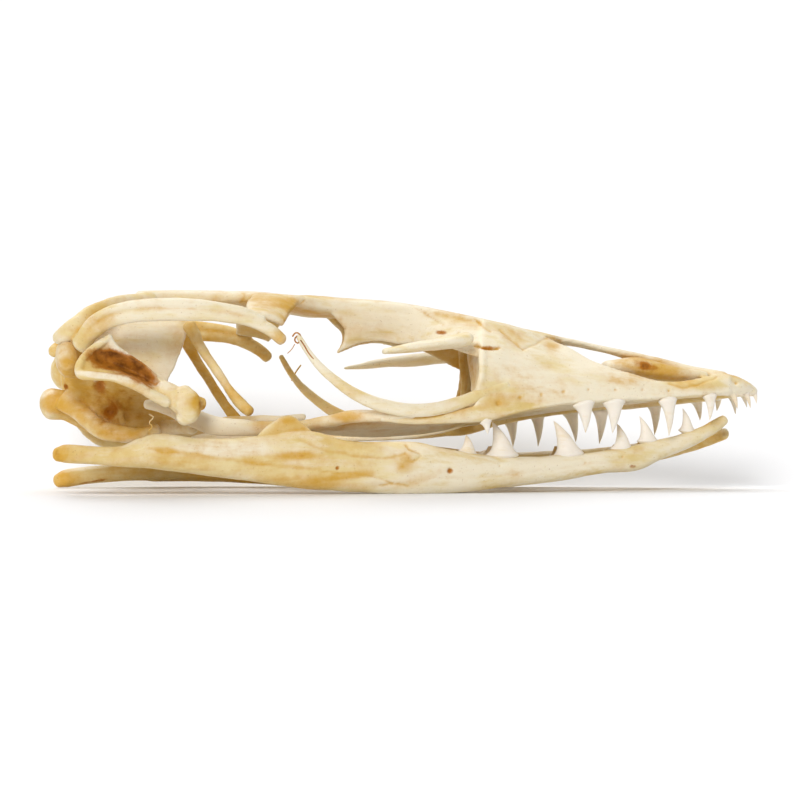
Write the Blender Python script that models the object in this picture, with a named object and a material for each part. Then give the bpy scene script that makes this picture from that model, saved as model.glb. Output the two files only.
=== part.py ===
"""Monitor lizard skull with its lower jaw, standing on the jaw.

Metres, +Z up, the snout along +X, the right side of the head along -Y.
The bones are written in millimetres as a side view shows them: u runs
forward and v up from the surface, and w is the distance out from the
middle of the head. seen() takes the view's parallax out of u and v.
"""

import math

import bmesh
import bpy
import numpy as np
from mathutils import Matrix, Vector

for old in list(bpy.data.objects):
    bpy.data.objects.remove(old)

# Driving dimensions, in millimetres and degrees
SKULL_LENGTH = 119.7
VIEW_DISTANCE = 900.0
VIEW_TURN = 5.5
VIEW_RISE = 1.0
VIEW_HEIGHT = 16.2
LEAN = 5.4
LEAN_HEIGHT = 10.0
FAR_JAW_ROLL = 30.0
FAR_JAW_PITCH = 1.45
FAR_TOOTH_STUMP = 0.3
FAR_JAW_SHIFT = (1.1, 0.8, -3.32)
FAR_JAW_TIP = (54.0, 2.0, 12.0)
FAR_JAW_HEEL = (-56.0, 17.5, 7.0)
REST_DROP = 1.12
TO_CENTRE = (-0.2, -0.3)
WALL_THICK = 1.1
ROD_SIDES = 8
END_RING_AT = 0.65
END_RING_SIZE = 0.72
TOOTH_SIDES = 5
MM = 0.001

BONE = (0.86, 0.75, 0.55, 1.0)
TOOTH_END = 0.12


def seen(u, v, w, lean=LEAN):
    """The point of the head at w, out from its middle, that the side view shows at u, v.

    The view is turned, raised and in perspective, and the head leans over
    by lean degrees, so the place is worked out by a few rounds of correction."""
    turn = math.radians(VIEW_TURN)
    rise = math.radians(VIEW_RISE)
    roll = math.radians(lean)
    y = -w
    depth = y
    x, z = u, v
    for _ in range(6):
        shrink = VIEW_DISTANCE / (VIEW_DISTANCE + depth)
        across = u / shrink
        up = (v - VIEW_HEIGHT) / shrink + VIEW_HEIGHT
        y_world = y * math.cos(roll) + (z - LEAN_HEIGHT) * math.sin(roll)
        x = (across + y_world * math.sin(turn)) / math.cos(turn)
        depth = x * math.sin(turn) + y_world * math.cos(turn)
        z_world = (up - depth * math.sin(rise)) / math.cos(rise)
        z = LEAN_HEIGHT + (z_world - LEAN_HEIGHT + y * math.sin(roll)) / math.cos(roll)
    return x, y, z


def smooth(rows, count):
    """count rows read from a Catmull-Rom curve through the given rows."""
    rows = np.asarray(rows, float)
    last = len(rows) - 1
    padded = np.vstack([2 * rows[0] - rows[1], rows, 2 * rows[-1] - rows[-2]])
    at = np.linspace(0, last, count)
    k = np.minimum(at.astype(int), last - 1)
    t = (at - k)[:, None]
    a, b, c, d = padded[k], padded[k + 1], padded[k + 2], padded[k + 3]
    return 0.5 * (2 * b + (c - a) * t + (2 * a - 5 * b + 4 * c - d) * t**2
                  + (3 * b - a - 3 * c + d) * t**3)


def unit(rows):
    return rows / np.maximum(np.linalg.norm(rows, axis=-1, keepdims=True), 1e-9)


def closed_mesh(points, faces):
    """Points and faces with every face pointing out."""
    volume = 0.0
    for face in faces:
        first = points[face[0]]
        for i in range(1, len(face) - 1):
            volume += np.dot(first, np.cross(points[face[i]], points[face[i + 1]]))
    return points, faces if volume > 0 else [face[::-1] for face in faces]


def rod(stations, rings=None, sides=ROD_SIDES, power=2.0, out=(0, 1, 0), cap=0.8, round_ends=False):
    """A closed rod: an oval ring carried along a smooth path of (x, y, z, half width, half height).

    The half width lies along out, the half height at right angles to it and
    to the path. A power over 2 squares the oval. Each end is a low point of
    height cap, with one more ring under it where the ends are round."""
    rows = smooth(stations, rings or 2 * len(stations) - 1)
    centre, half_w, half_h = rows[:, :3], np.abs(rows[:, 3:4]), np.abs(rows[:, 4:5])
    along = unit(np.gradient(centre, axis=0))
    out = np.asarray(out, float)
    across = unit(out - along * (along @ out)[:, None])
    up = np.cross(along, across)
    angle = np.arange(sides) * 2 * math.pi / sides
    c, s = np.cos(angle), np.sin(angle)
    oval_c = np.sign(c) * np.abs(c) ** (2 / power)
    oval_s = np.sign(s) * np.abs(s) ** (2 / power)
    loops = []
    ends = [(0, -1), (len(rows) - 1, 1)]
    for i, way in ends:
        reach = cap * min(half_w[i, 0], half_h[i, 0])
        grown = centre[i] + along[i] * way * reach * END_RING_AT
        ring = (grown + across[i] * half_w[i] * END_RING_SIZE * oval_c[:, None]
                + up[i] * half_h[i] * END_RING_SIZE * oval_s[:, None])
        loops.append(ring[None])
    body = (centre[:, None] + across[:, None] * half_w[:, None] * oval_c[None, :, None]
            + up[:, None] * half_h[:, None] * oval_s[None, :, None])
    rings_all = np.concatenate([loops[0], body, loops[1]]) if round_ends else body
    n = len(rings_all)
    tips = [centre[i] + along[i] * way * cap * min(half_w[i, 0], half_h[i, 0]) for i, way in ends]
    points = np.vstack([rings_all.reshape(-1, 3), tips])
    faces = []
    for r in range(n - 1):
        for k in range(sides):
            m = (k + 1) % sides
            faces.append([r * sides + k, r * sides + m, (r + 1) * sides + m, (r + 1) * sides + k])
    for k in range(sides):
        m = (k + 1) % sides
        faces.append([n * sides, m, k])
        faces.append([n * sides + 1, (n - 1) * sides + k, (n - 1) * sides + m])
    return closed_mesh(points, faces)


def plate(rails, thick, across=None, along=None):
    """A closed plate: a smooth sheet through the rails, thickened along its normals."""
    rails = np.asarray(rails, float)
    along = along or 2 * rails.shape[1] - 1
    across = across or 2 * rails.shape[0] - 1
    lines = np.array([smooth(rail, along) for rail in rails])
    sheet = np.array([smooth(lines[:, j], across) for j in range(along)]).transpose(1, 0, 2)
    du, dv = np.gradient(sheet, axis=1), np.gradient(sheet, axis=0)
    normal = unit(np.cross(du, dv))
    front, back = sheet + normal * thick / 2, sheet - normal * thick / 2
    points = np.vstack([front.reshape(-1, 3), back.reshape(-1, 3)])
    half = across * along
    faces = []
    for i in range(across - 1):
        for j in range(along - 1):
            quad = [i * along + j, i * along + j + 1, (i + 1) * along + j + 1, (i + 1) * along + j]
            faces.append(quad)
            faces.append([half + q for q in quad[::-1]])
    border = ([j for j in range(along)] + [i * along + along - 1 for i in range(1, across)]
              + [(across - 1) * along + j for j in range(along - 2, -1, -1)]
              + [i * along for i in range(across - 2, 0, -1)])
    for k, p in enumerate(border):
        q = border[(k + 1) % len(border)]
        faces.append([q, p, half + p, half + q])
    return closed_mesh(points, faces)


def other_side(mesh):
    """The same mesh on the other side of the head."""
    points, faces = mesh
    return points * np.array([1.0, -1.0, 1.0]), [face[::-1] for face in faces]


def both(mesh):
    return [mesh, other_side(mesh)]


def pair_rod(rows, **form):
    """A rod on each side. Its rows are (u, v, w, half width, half height)."""
    return both(rod([[*seen(u, v, w), a, b] for u, v, w, a, b in rows], **form))


def pair_plate(rails, thick=WALL_THICK, **form):
    return both(plate([[seen(*p) for p in rail] for rail in rails], thick, **form))


def middle_rod(rows, **form):
    """A rod on the middle plane; rows are u, v of the edge that shows, half width and half height."""
    stations = []
    for u, v, w, h in rows:
        x, _, z = seen(u, v, w)
        stations.append([x, 0.0, z, w, h])
    return rod(stations, **form)


def tooth(base, tip, wide, deep, out=(0, 1, 0), bend=0.12):
    """A pointed tooth from base to tip, bowed forward by bend of its length."""
    base, tip = np.array(base, float), np.array(tip, float)
    length = np.linalg.norm(tip - base)
    root = base - (tip - base) * 0.35
    middle = (base + tip) / 2 + np.array([bend * length, 0, 0])
    rows = [[*root, deep, wide], [*middle, deep * 0.68, wide * 0.68], [*tip, TOOTH_END, TOOTH_END]]
    return rod(rows, rings=3, sides=TOOTH_SIDES, out=out, cap=0.9)


# Skull roof: parietal table, frontals and nasals along the middle
def roof():
    table = [(-43.3, 33.7, 5.4, 1.0), (-38.0, 33.5, 4.7, 1.3), (-32.0, 33.4, 4.7, 1.4),
             (-26.5, 33.4, 5.6, 1.3), (-22.0, 33.3, 7.6, 1.2), (-18.0, 33.0, 8.8, 1.2),
             (-15.0, 32.5, 7.2, 1.5), (-12.0, 32.2, 5.9, 1.6), (-7.0, 31.9, 5.2, 1.5),
             (-1.0, 31.7, 5.7, 1.2), (5.0, 31.0, 6.8, 0.95), (10.0, 30.0, 8.0, 0.9),
             (14.0, 29.2, 8.4, 0.9), (18.0, 28.3, 7.6, 0.9), (22.0, 27.3, 5.6, 0.8),
             (26.0, 26.4, 3.4, 0.7)]
    bar = [(24.0, 26.9, 3.2, 0.6), (30.0, 25.75, 2.2, 0.5), (33.0, 25.05, 2.0, 0.48),
           (36.0, 24.35, 1.9, 0.55), (42.0, 22.85, 1.8, 0.75), (48.0, 21.3, 1.9, 0.9),
           (54.0, 19.9, 2.8, 1.2)]
    tip = [(50.0, 20.0, 3.0, 1.1), (53.0, 19.4, 4.4, 1.6), (56.0, 18.8, 4.2, 1.7),
           (58.0, 18.2, 3.0, 1.3), (59.2, 17.7, 1.8, 0.8)]
    return [middle_rod(table, rings=14, power=2.8), middle_rod(bar, rings=7, sides=6, power=2.6),
            middle_rod(tip, rings=6, power=2.4, round_ends=True)]


def frontal_walls():
    """The flanges that hang from the frontals, nearly meet below and end behind in a spike."""
    rails = [[(-12.5, 32.2, 5.2), (-7.5, 32.0, 4.9), (-3.5, 31.8, 4.9), (0.5, 31.4, 5.3), (5.0, 30.6, 6.4),
              (10.0, 29.4, 7.8), (15.0, 28.4, 8.4)],
             [(-10.9, 30.0, 4.2), (-6.9, 30.4, 4.3), (-3.3, 30.4, 4.6), (0.5, 30.0, 5.1), (4.9, 29.4, 6.7),
              (9.9, 28.3, 8.8), (15.0, 27.4, 10.0)],
             [(-9.4, 28.2, 3.2), (-6.4, 28.6, 3.5), (-3.1, 28.8, 3.9), (0.4, 28.6, 4.6), (4.8, 28.1, 7.0),
              (9.8, 27.1, 9.8), (15.0, 26.2, 11.7)],
             [(-9.3, 26.3, 2.4), (-6.3, 27.1, 2.7), (-3.0, 27.4, 3.0), (0.4, 27.1, 3.9), (4.8, 26.9, 7.3),
              (9.8, 25.7, 10.9), (15.0, 24.4, 13.0)],
             [(-10.4, 24.1, 1.6), (-7.0, 25.6, 1.9), (-3.2, 26.1, 2.2), (0.5, 25.6, 3.4), (4.8, 25.8, 7.7),
              (10.0, 24.4, 12.0), (15.0, 22.5, 14.2)]]
    return pair_plate(rails, across=4, along=9)


def cheek_walls():
    """Maxilla, prefrontal and lacrimal: the side of the snout, from the tooth row to the roof."""
    rails = [[(12.2, 14.8, 16.4), (16.0, 13.6, 15.9), (20.0, 14.2, 15.0), (24.0, 15.0, 14.1),
              (28.0, 15.6, 13.2), (33.0, 16.0, 12.1), (38.0, 16.2, 11.0), (43.0, 16.4, 9.8),
              (47.0, 16.7, 8.7), (51.0, 17.1, 7.4), (55.0, 17.4, 5.4)],
             [(13.4, 18.4, 16.2), (16.0, 18.8, 15.3), (20.0, 18.8, 14.4), (24.0, 18.6, 13.4),
              (28.0, 18.5, 12.6), (33.0, 18.1, 11.6), (38.0, 17.8, 10.7), (43.0, 17.4, 9.6),
              (47.0, 17.5, 8.6), (51.0, 18.0, 7.2), (55.0, 18.4, 5.3)],
             [(13.6, 24.0, 14.0), (16.5, 24.2, 12.8), (20.0, 23.8, 11.6), (24.0, 22.8, 10.8),
              (28.0, 21.6, 10.6), (33.0, 20.2, 10.6), (38.0, 19.3, 10.0), (43.0, 18.5, 9.1),
              (47.0, 18.4, 8.0), (51.0, 19.0, 6.5), (55.0, 19.4, 4.6)],
             [(13.6, 29.4, 8.6), (17.5, 28.6, 7.6), (21.0, 27.7, 6.2), (24.5, 26.4, 4.6), (28.6, 24.4, 6.6),
              (33.0, 22.2, 8.4), (38.0, 20.6, 8.6), (43.0, 19.2, 8.2), (47.0, 19.1, 6.9), (51.0, 19.9, 5.0),
              (55.0, 20.2, 2.8)]]
    return pair_plate(rails, along=11, across=4)


def tooth_ridges():
    """The thick edge of the upper jaw that the teeth stand in, with the maxilla's rear end."""
    rows = [(-3.0, 13.4, 17.6, 0.7, 0.8), (3.0, 13.2, 17.2, 0.9, 1.1), (9.0, 13.6, 16.4, 1.0, 1.3),
            (14.0, 14.0, 15.6, 1.1, 1.4), (19.0, 15.2, 14.5, 1.1, 1.3), (25.0, 16.2, 13.0, 1.1, 1.2),
            (33.0, 16.9, 11.2, 1.1, 1.1), (41.0, 17.2, 9.4, 1.1, 1.1), (48.0, 17.6, 7.4, 1.1, 1.1),
            (53.0, 18.0, 5.4, 1.1, 1.1), (57.0, 18.4, 2.6, 1.2, 1.1), (58.3, 18.5, 0.2, 1.2, 1.1)]
    return pair_rod(rows, rings=10, sides=5)


def orbit_fronts():
    """The wall between the eye socket and the snout, with its rounded outer rim."""
    rails = [[(13.8, 16.6, 15.8), (13.9, 20.5, 15.4), (13.8, 24.5, 13.4), (13.6, 28.6, 8.8)],
             [(13.4, 16.6, 12.0), (13.6, 20.0, 11.4), (13.2, 23.5, 10.0), (12.8, 27.2, 8.0)],
             [(12.0, 17.6, 7.6), (12.0, 20.2, 6.6), (11.6, 22.8, 6.2), (11.2, 26.0, 6.2)]]
    rim = [(12.6, 16.4, 16.2, 0.6, 0.65), (13.6, 20.2, 15.7, 0.6, 0.65), (13.7, 24.4, 13.6, 0.6, 0.65),
           (13.4, 28.0, 9.4, 0.6, 0.65)]
    return pair_plate(rails, thick=1.2, across=3, along=4) + pair_rod(rim, rings=4, sides=5)


def naris_floors():
    """The septomaxilla, a swollen shelf inside each nostril."""
    rows = [(34.5, 21.6, 5.0, 2.6, 1.2), (39.5, 21.6, 4.6, 2.9, 1.6), (45.0, 20.6, 4.0, 2.6, 1.3),
            (50.5, 20.1, 2.8, 1.9, 0.9)]
    return pair_rod(rows, rings=4, sides=6)


def brow_bars():
    """Postorbitofrontals: from the roof out to the stub behind the eye."""
    rails = [[(-24.5, 33.4, 6.4), (-25.6, 32.0, 12.0), (-25.0, 30.4, 16.6)],
             [(-20.0, 33.2, 8.0), (-21.6, 31.6, 12.4), (-21.8, 29.8, 16.4)],
             [(-16.8, 32.4, 7.4), (-18.4, 30.6, 12.0), (-19.4, 28.7, 15.4)]]
    return pair_plate(rails, thick=1.5, across=3, along=4)


def temple_arches():
    """Each upper arch is a ridge with a flatter band under it, and ends in front in a free stub."""
    ridge = [(-52.8, 26.4, 16.1, 1.3, 1.3), (-51.4, 28.9, 17.0, 1.0, 1.0), (-48.8, 30.9, 17.8, 0.9, 0.85),
             (-45.0, 31.9, 18.2, 0.9, 0.85), (-40.5, 32.3, 18.4, 0.9, 0.85),
             (-35.5, 32.25, 18.5, 0.9, 0.85), (-30.5, 31.8, 18.2, 0.85, 0.8),
             (-26.0, 30.9, 17.6, 0.85, 0.8), (-23.0, 29.6, 17.0, 0.8, 0.8)]
    band = [(-53.2, 25.4, 15.6, 1.3, 1.6), (-51.4, 27.4, 16.8, 1.1, 1.3), (-48.6, 29.2, 17.6, 0.9, 1.1),
            (-45.0, 30.1, 18.1, 0.75, 1.1), (-40.5, 30.5, 18.3, 0.75, 1.15),
            (-35.5, 30.5, 18.4, 0.75, 1.15), (-30.5, 30.3, 18.1, 0.75, 1.05),
            (-26.0, 29.6, 17.4, 0.8, 1.0), (-22.8, 28.5, 17.0, 0.9, 1.05),
            (-20.9, 27.3, 16.7, 0.95, 1.0), (-19.7, 26.2, 16.7, 0.9, 0.95)]
    return pair_rod(ridge, rings=7, sides=5) + pair_rod(band, rings=10, sides=6, round_ends=True)


def parietal_arms():
    """The two arms that run back and out from the parietal, and curl in to the knobs at the very back."""
    rows = [(-41.5, 33.0, 4.2, 1.2, 1.2), (-45.0, 32.4, 7.0, 1.0, 1.5), (-48.6, 31.6, 10.6, 0.9, 1.5),
            (-51.4, 30.3, 13.4, 0.9, 1.6), (-53.8, 28.5, 14.8, 1.0, 1.6), (-55.8, 27.2, 14.4, 1.1, 1.4),
            (-56.9, 26.5, 12.8, 1.0, 1.1)]
    return pair_rod(rows, rings=7, sides=5)


def braincase():
    floor = [(-57.9, 15.7, 2.9, 2.65), (-55.5, 15.4, 2.8, 2.4), (-52.6, 14.0, 3.6, 2.1),
             (-48.8, 12.2, 4.6, 2.1), (-45.2, 11.2, 5.2, 1.8), (-41.6, 11.0, 5.0, 1.5),
             (-38.0, 11.2, 4.4, 1.3), (-33.5, 11.8, 2.6, 1.2), (-27.0, 12.6, 1.0, 1.0),
             (-16.0, 13.4, 0.5, 0.6)]
    top = [(-43.5, 32.2, 5.0, 0.9), (-48.0, 30.4, 5.6, 0.9), (-52.5, 27.8, 5.4, 0.9),
           (-56.0, 24.9, 4.4, 0.8)]
    shapes = [middle_rod(floor, rings=11, round_ends=True), middle_rod(top, rings=4, sides=6, power=3.0)]
    walls = [[(-54.0, 15.6, 3.4), (-50.2, 13.4, 4.4), (-46.0, 11.8, 5.0), (-41.5, 11.8, 4.8),
              (-37.2, 12.4, 3.8)],
             [(-55.8, 18.2, 3.6), (-51.0, 17.0, 4.4), (-46.6, 16.0, 4.6), (-42.0, 15.8, 4.8),
              (-38.4, 15.6, 5.0)],
             [(-56.0, 20.8, 4.4), (-51.0, 20.2, 7.0), (-46.4, 19.8, 8.2), (-42.0, 19.3, 8.3),
              (-38.9, 18.8, 7.6)],
             [(-56.0, 24.2, 4.6), (-51.0, 25.2, 7.4), (-46.2, 25.0, 8.4), (-41.2, 24.6, 8.4),
              (-36.6, 24.0, 7.6)],
             [(-53.9, 27.0, 5.0), (-49.6, 28.6, 6.4), (-45.0, 30.0, 6.6), (-40.0, 31.4, 5.6),
              (-34.6, 31.6, 5.0)]]
    shapes += pair_plate(walls, thick=1.5, across=5, along=5)
    arms = [(-52.4, 22.4, 6.0, 1.6, 2.8), (-54.2, 23.0, 9.6, 1.9, 3.1), (-55.4, 23.2, 12.4, 2.0, 3.2),
            (-55.4, 23.6, 14.2, 1.7, 2.6)]
    shapes += pair_rod(arms, rings=4, sides=5, out=(1, 0, 0))
    horns = [(-40.0, 11.6, 4.0, 1.3, 1.3), (-37.0, 11.6, 7.0, 1.2, 1.2), (-34.6, 11.6, 10.4, 1.1, 1.2)]
    shapes += pair_rod(horns, rings=3, sides=6, out=(1, 0, 0))
    crest = [(-56.2, 16.2, 3.2, 0.8, 1.9), (-53.6, 14.4, 4.6, 0.9, 1.55), (-51.2, 12.2, 6.2, 0.9, 1.55),
             (-48.8, 11.0, 7.2, 0.9, 1.6), (-46.0, 10.5, 7.7, 0.9, 1.4), (-43.2, 10.5, 7.6, 0.85, 1.0),
             (-40.6, 11.2, 6.8, 0.9, 1.0)]
    shapes += pair_rod(crest, rings=7, sides=5)
    ear_ridge = [(-48.8, 18.6, 6.2, 0.5, 0.6), (-47.3, 15.6, 5.2, 0.5, 0.6), (-46.0, 12.6, 5.6, 0.5, 0.6)]
    shapes += pair_rod(ear_ridge, rings=3, sides=4)
    return shapes


def palate():
    wings = [(-42.2, 15.5, 13.4, 0.7, 0.8), (-39.4, 15.2, 13.2, 0.8, 1.2), (-35.4, 13.6, 12.9, 0.9, 1.4),
             (-31.0, 12.0, 13.0, 0.9, 1.6), (-25.0, 11.6, 12.3, 1.0, 1.35), (-19.5, 11.6, 11.4, 1.3, 1.1),
             (-14.0, 11.7, 10.2, 1.9, 0.9), (-8.0, 11.9, 8.6, 2.4, 0.8), (-2.0, 12.0, 7.2, 2.4, 0.7),
             (5.0, 12.4, 6.2, 2.2, 0.7), (12.0, 13.2, 5.4, 2.2, 0.7), (18.0, 14.2, 4.0, 2.0, 0.7),
             (26.0, 15.2, 2.6, 1.6, 0.7), (36.0, 16.2, 2.0, 1.3, 0.7), (46.0, 17.2, 1.7, 1.2, 0.7),
             (53.0, 18.2, 1.5, 1.2, 0.8)]
    struts = [(-16.5, 11.8, 11.0, 1.2, 0.9), (-12.0, 12.6, 13.4, 1.2, 1.0), (-8.0, 13.4, 15.6, 1.1, 1.1),
              (-3.5, 13.6, 17.2, 1.0, 1.0), (2.0, 13.6, 17.6, 0.9, 0.9)]
    shelves = [(10.5, 13.4, 5.4, 2.2, 0.8), (12.0, 14.2, 10.0, 2.0, 0.75), (13.0, 14.8, 14.6, 1.8, 0.8)]
    sheets = [[(-17.0, 12.2, 12.2), (-11.0, 13.0, 12.6), (-5.0, 13.4, 12.4), (1.0, 13.5, 12.0),
               (7.0, 13.7, 11.6), (12.0, 14.2, 11.2)],
              [(-17.0, 11.8, 9.6), (-11.0, 11.7, 8.8), (-5.0, 11.8, 8.2), (1.0, 12.0, 7.6),
               (7.0, 12.6, 7.2), (12.0, 13.2, 7.0)],
              [(-17.0, 11.2, 7.4), (-11.0, 10.4, 5.4), (-5.0, 10.2, 4.4), (1.0, 10.4, 3.8),
               (7.0, 11.2, 3.6), (12.0, 12.7, 4.0)]]
    return (pair_rod(wings, rings=12, sides=6)
            + pair_rod(struts, rings=4, sides=5)
            + pair_rod(shelves, rings=3, sides=5, out=(1, 0, 0))
            + pair_plate(sheets, thick=0.9, across=3, along=5))


def cheek_bones():
    """Jugals: the thin bars that sweep up behind each eye socket and end free."""
    rows = [(-16.9, 26.8, 19.4, 0.4, 0.45), (-15.3, 24.2, 19.8, 0.45, 0.55), (-13.2, 21.6, 20.0, 0.5, 0.7),
            (-10.2, 19.0, 20.0, 0.6, 0.85), (-7.0, 16.9, 19.8, 0.7, 1.0), (-3.0, 15.3, 19.2, 0.8, 1.1),
            (1.5, 14.5, 18.6, 0.9, 1.15), (6.0, 14.7, 17.8, 0.9, 1.1), (10.0, 15.8, 17.0, 0.8, 1.05),
            (14.0, 17.3, 16.0, 0.65, 0.95), (18.0, 18.6, 15.1, 0.35, 0.7)]
    return pair_rod(rows, rings=11, sides=5)


NEAR_UPPER = [((14.3, 12.6), (14.6, 10.5), 16.0, 0.8), ((30.6, 15.6), (30.9, 10.7), 12.2, 1.45),
              ((35.6, 15.9), (35.4, 10.7), 11.0, 1.5), ((44.6, 16.2), (44.8, 10.2), 9.0, 1.2),
              ((51.6, 16.9), (51.6, 12.8), 6.8, 0.95), ((55.4, 17.4), (56.2, 14.8), 4.2, 0.6),
              ((57.6, 17.5), (58.4, 14.9), 2.4, 0.5), ((59.0, 17.6), (59.4, 15.6), 0.8, 0.45)]
FAR_UPPER = [((18.4, 13.0), (18.8, 8.4), 15.4, 1.15), ((22.8, 14.0), (23.0, 8.5), 14.2, 1.2),
             ((28.3, 14.6), (29.3, 9.2), 12.8, 1.25), ((33.4, 15.0), (33.2, 8.9), 11.4, 1.3),
             ((42.4, 15.6), (42.4, 10.3), 9.0, 1.1), ((49.4, 16.3), (50.0, 12.8), 7.2, 0.95),
             ((53.0, 16.8), (52.8, 14.4), 5.6, 0.7), ((55.2, 17.0), (55.9, 13.9), 4.0, 0.6),
             ((57.0, 17.3), (57.8, 15.0), 2.2, 0.5)]


def upper_teeth():
    teeth = [tooth(seen(*base, w), seen(*tip, w), wide, wide * 0.6, bend=0.05)
             for base, tip, w, wide in NEAR_UPPER]
    teeth += [tooth(seen(*base, -w), seen(*tip, -w), wide, wide * 0.6, bend=0.05)
              for base, tip, w, wide in FAR_UPPER]
    return teeth


# Lower jaw
def jaw_point(u, v, w):
    return seen(u, v, w, lean=0.0)


def jaw_body():
    """One side of the lower jaw: its height comes from its upper and lower edges."""
    # u, upper edge, lower edge, out from the middle, half width
    edges = [(-57.0, 8.3, 6.0, 17.2, 1.2), (-55.5, 8.7, 5.8, 17.5, 1.5), (-52.0, 8.5, 5.6, 18.0, 1.4),
             (-46.5, 8.5, 5.1, 18.5, 1.5), (-42.8, 9.8, 4.9, 18.6, 2.2), (-40.0, 10.5, 4.6, 18.6, 2.6),
             (-34.0, 9.9, 3.9, 18.5, 2.4), (-28.0, 9.8, 3.1, 18.2, 2.1), (-23.0, 10.2, 2.4, 17.7, 2.1),
             (-16.0, 11.0, 1.5, 17.0, 2.2), (-10.0, 9.5, 1.1, 16.3, 2.3), (-4.0, 9.2, 0.7, 15.6, 2.4),
             (2.0, 9.2, 0.3, 14.8, 2.4), (8.0, 8.0, 0.6, 13.9, 2.2), (14.0, 7.0, 1.2, 12.9, 2.0),
             (20.0, 6.7, 1.9, 11.8, 1.9), (27.0, 7.0, 2.8, 10.4, 1.8), (33.3, 7.6, 3.9, 9.0, 1.7),
             (39.0, 8.6, 4.4, 7.6, 1.6), (43.0, 9.6, 6.2, 6.4, 1.5), (47.5, 10.7, 8.0, 4.9, 1.4),
             (51.5, 12.4, 10.2, 3.3, 1.3), (53.8, 13.6, 12.0, 2.0, 1.0)]
    rows = []
    for u, high, low, w, half in edges:
        x, y, z = jaw_point(u, (high + low) / 2, w)
        rows.append([x, y, z, half, (high - low) / 2])
    return rod(rows, rings=24, sides=8, power=2.3, round_ends=True)


def coronoid():
    rails = [[jaw_point(*p) for p in rail] for rail in
             [[(-24.0, 10.0, 16.8), (-19.0, 9.0, 16.6), (-13.0, 9.0, 16.0)],
              [(-22.2, 11.8, 16.2), (-18.6, 12.0, 16.0), (-15.0, 11.2, 15.6)],
              [(-19.8, 13.4, 15.8), (-18.5, 13.6, 15.7), (-17.4, 13.2, 15.6)]]]
    return plate(rails, 1.5, across=3, along=4)


NEAR_LOWER = [((11.2, 7.2), (11.0, 10.4), 12.8, 1.4), ((17.0, 6.9), (15.4, 12.5), 12.0, 2.15),
              ((28.0, 6.9), (25.6, 12.7), 9.8, 2.1), ((37.0, 7.8), (36.2, 12.2), 7.8, 1.6),
              ((41.2, 9.3), (39.9, 13.5), 6.4, 1.35), ((47.8, 11.0), (47.1, 14.8), 4.4, 1.1)]


def lower_teeth(height=1.0):
    teeth = []
    for base, tip, w, wide in NEAR_LOWER:
        foot, end = np.array(jaw_point(*base, w)), np.array(jaw_point(*tip, w))
        teeth.append(tooth(foot, foot + (end - foot) * height, wide, wide * 0.55, bend=0.14))
    return teeth


# Loose bones
def quadrate():
    """A shell hollowed on its outer face, with a thick lip below, and a squarish foot with a spur."""
    rim_up = [(-48.2, 27.0, 18.2), (-46.9, 25.2, 17.8), (-44.7, 23.5, 17.4), (-42.2, 21.8, 17.2),
              (-39.6, 19.5, 17.2), (-37.3, 17.4, 17.4)]
    deep = [(-51.2, 24.9, 17.6), (-49.6, 22.8, 16.5), (-46.8, 21.5, 16.1), (-43.6, 20.0, 16.2),
            (-40.9, 18.3, 16.5), (-38.2, 16.4, 17.2)]
    rim_low = [(-53.4, 20.8, 20.0), (-51.2, 20.3, 20.5), (-47.6, 20.1, 20.6), (-44.3, 18.9, 20.4),
               (-41.6, 17.4, 20.0), (-39.0, 15.7, 19.2)]
    conch = plate([[seen(*p) for p in rail] for rail in (rim_up, deep, rim_low)], 1.1, across=4, along=7)
    lip = [(-48.3, 26.7, 18.1, 0.5, 0.5), (-51.5, 24.5, 18.2, 0.6, 0.6), (-53.2, 22.3, 19.2, 0.75, 0.75),
           (-53.3, 20.6, 20.1, 0.85, 0.85), (-51.0, 20.2, 20.6, 0.8, 0.8), (-47.6, 19.9, 20.7, 0.75, 0.75),
           (-44.3, 18.7, 20.5, 0.75, 0.75), (-41.4, 17.1, 19.9, 0.8, 0.8), (-38.9, 15.8, 19.0, 0.9, 0.9)]
    stem = [(-39.8, 18.2, 17.6, 1.1, 1.5), (-37.8, 16.8, 18.0, 1.5, 1.9), (-36.0, 15.4, 18.4, 1.8, 1.9)]
    foot = [(-36.2, 17.2, 18.0, 1.6, 1.8), (-35.4, 15.6, 18.5, 2.2, 2.5), (-35.6, 14.0, 18.6, 2.0, 2.3),
            (-36.2, 13.1, 18.4, 1.2, 1.6)]
    spur = [(-34.2, 15.9, 18.2, 0.9, 1.2), (-32.9, 15.5, 17.8, 0.8, 1.1)]
    bars = [rod([[*seen(u, v, w), a, b] for u, v, w, a, b in rows], rings=rings, sides=5)
            for rows, rings in ((lip, 8), (stem, 3), (spur, 2))]
    block = rod([[*seen(u, v, w), a, b] for u, v, w, a, b in foot], rings=4, sides=6, out=(1, 0, 0),
                power=2.8, round_ends=True)
    return [conch, block] + bars


def epipterygoid():
    rows = [(-35.1, 28.6, 8.7, 1.0, 1.15), (-34.3, 27.1, 8.9, 0.95, 1.05), (-33.2, 25.0, 9.3, 0.75, 0.9),
            (-30.8, 21.4, 9.8, 0.7, 0.75), (-28.2, 17.6, 10.6, 0.7, 0.75), (-26.3, 15.3, 11.4, 0.8, 0.9),
            (-25.2, 14.3, 12.0, 0.95, 0.85)]
    return rod([[*seen(u, v, w), a, b] for u, v, w, a, b in rows], sides=6, rings=7)


def palpebral(rows):
    return rod([[*seen(u, v, w), a, b] for u, v, w, a, b in rows], sides=8, rings=7)


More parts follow.
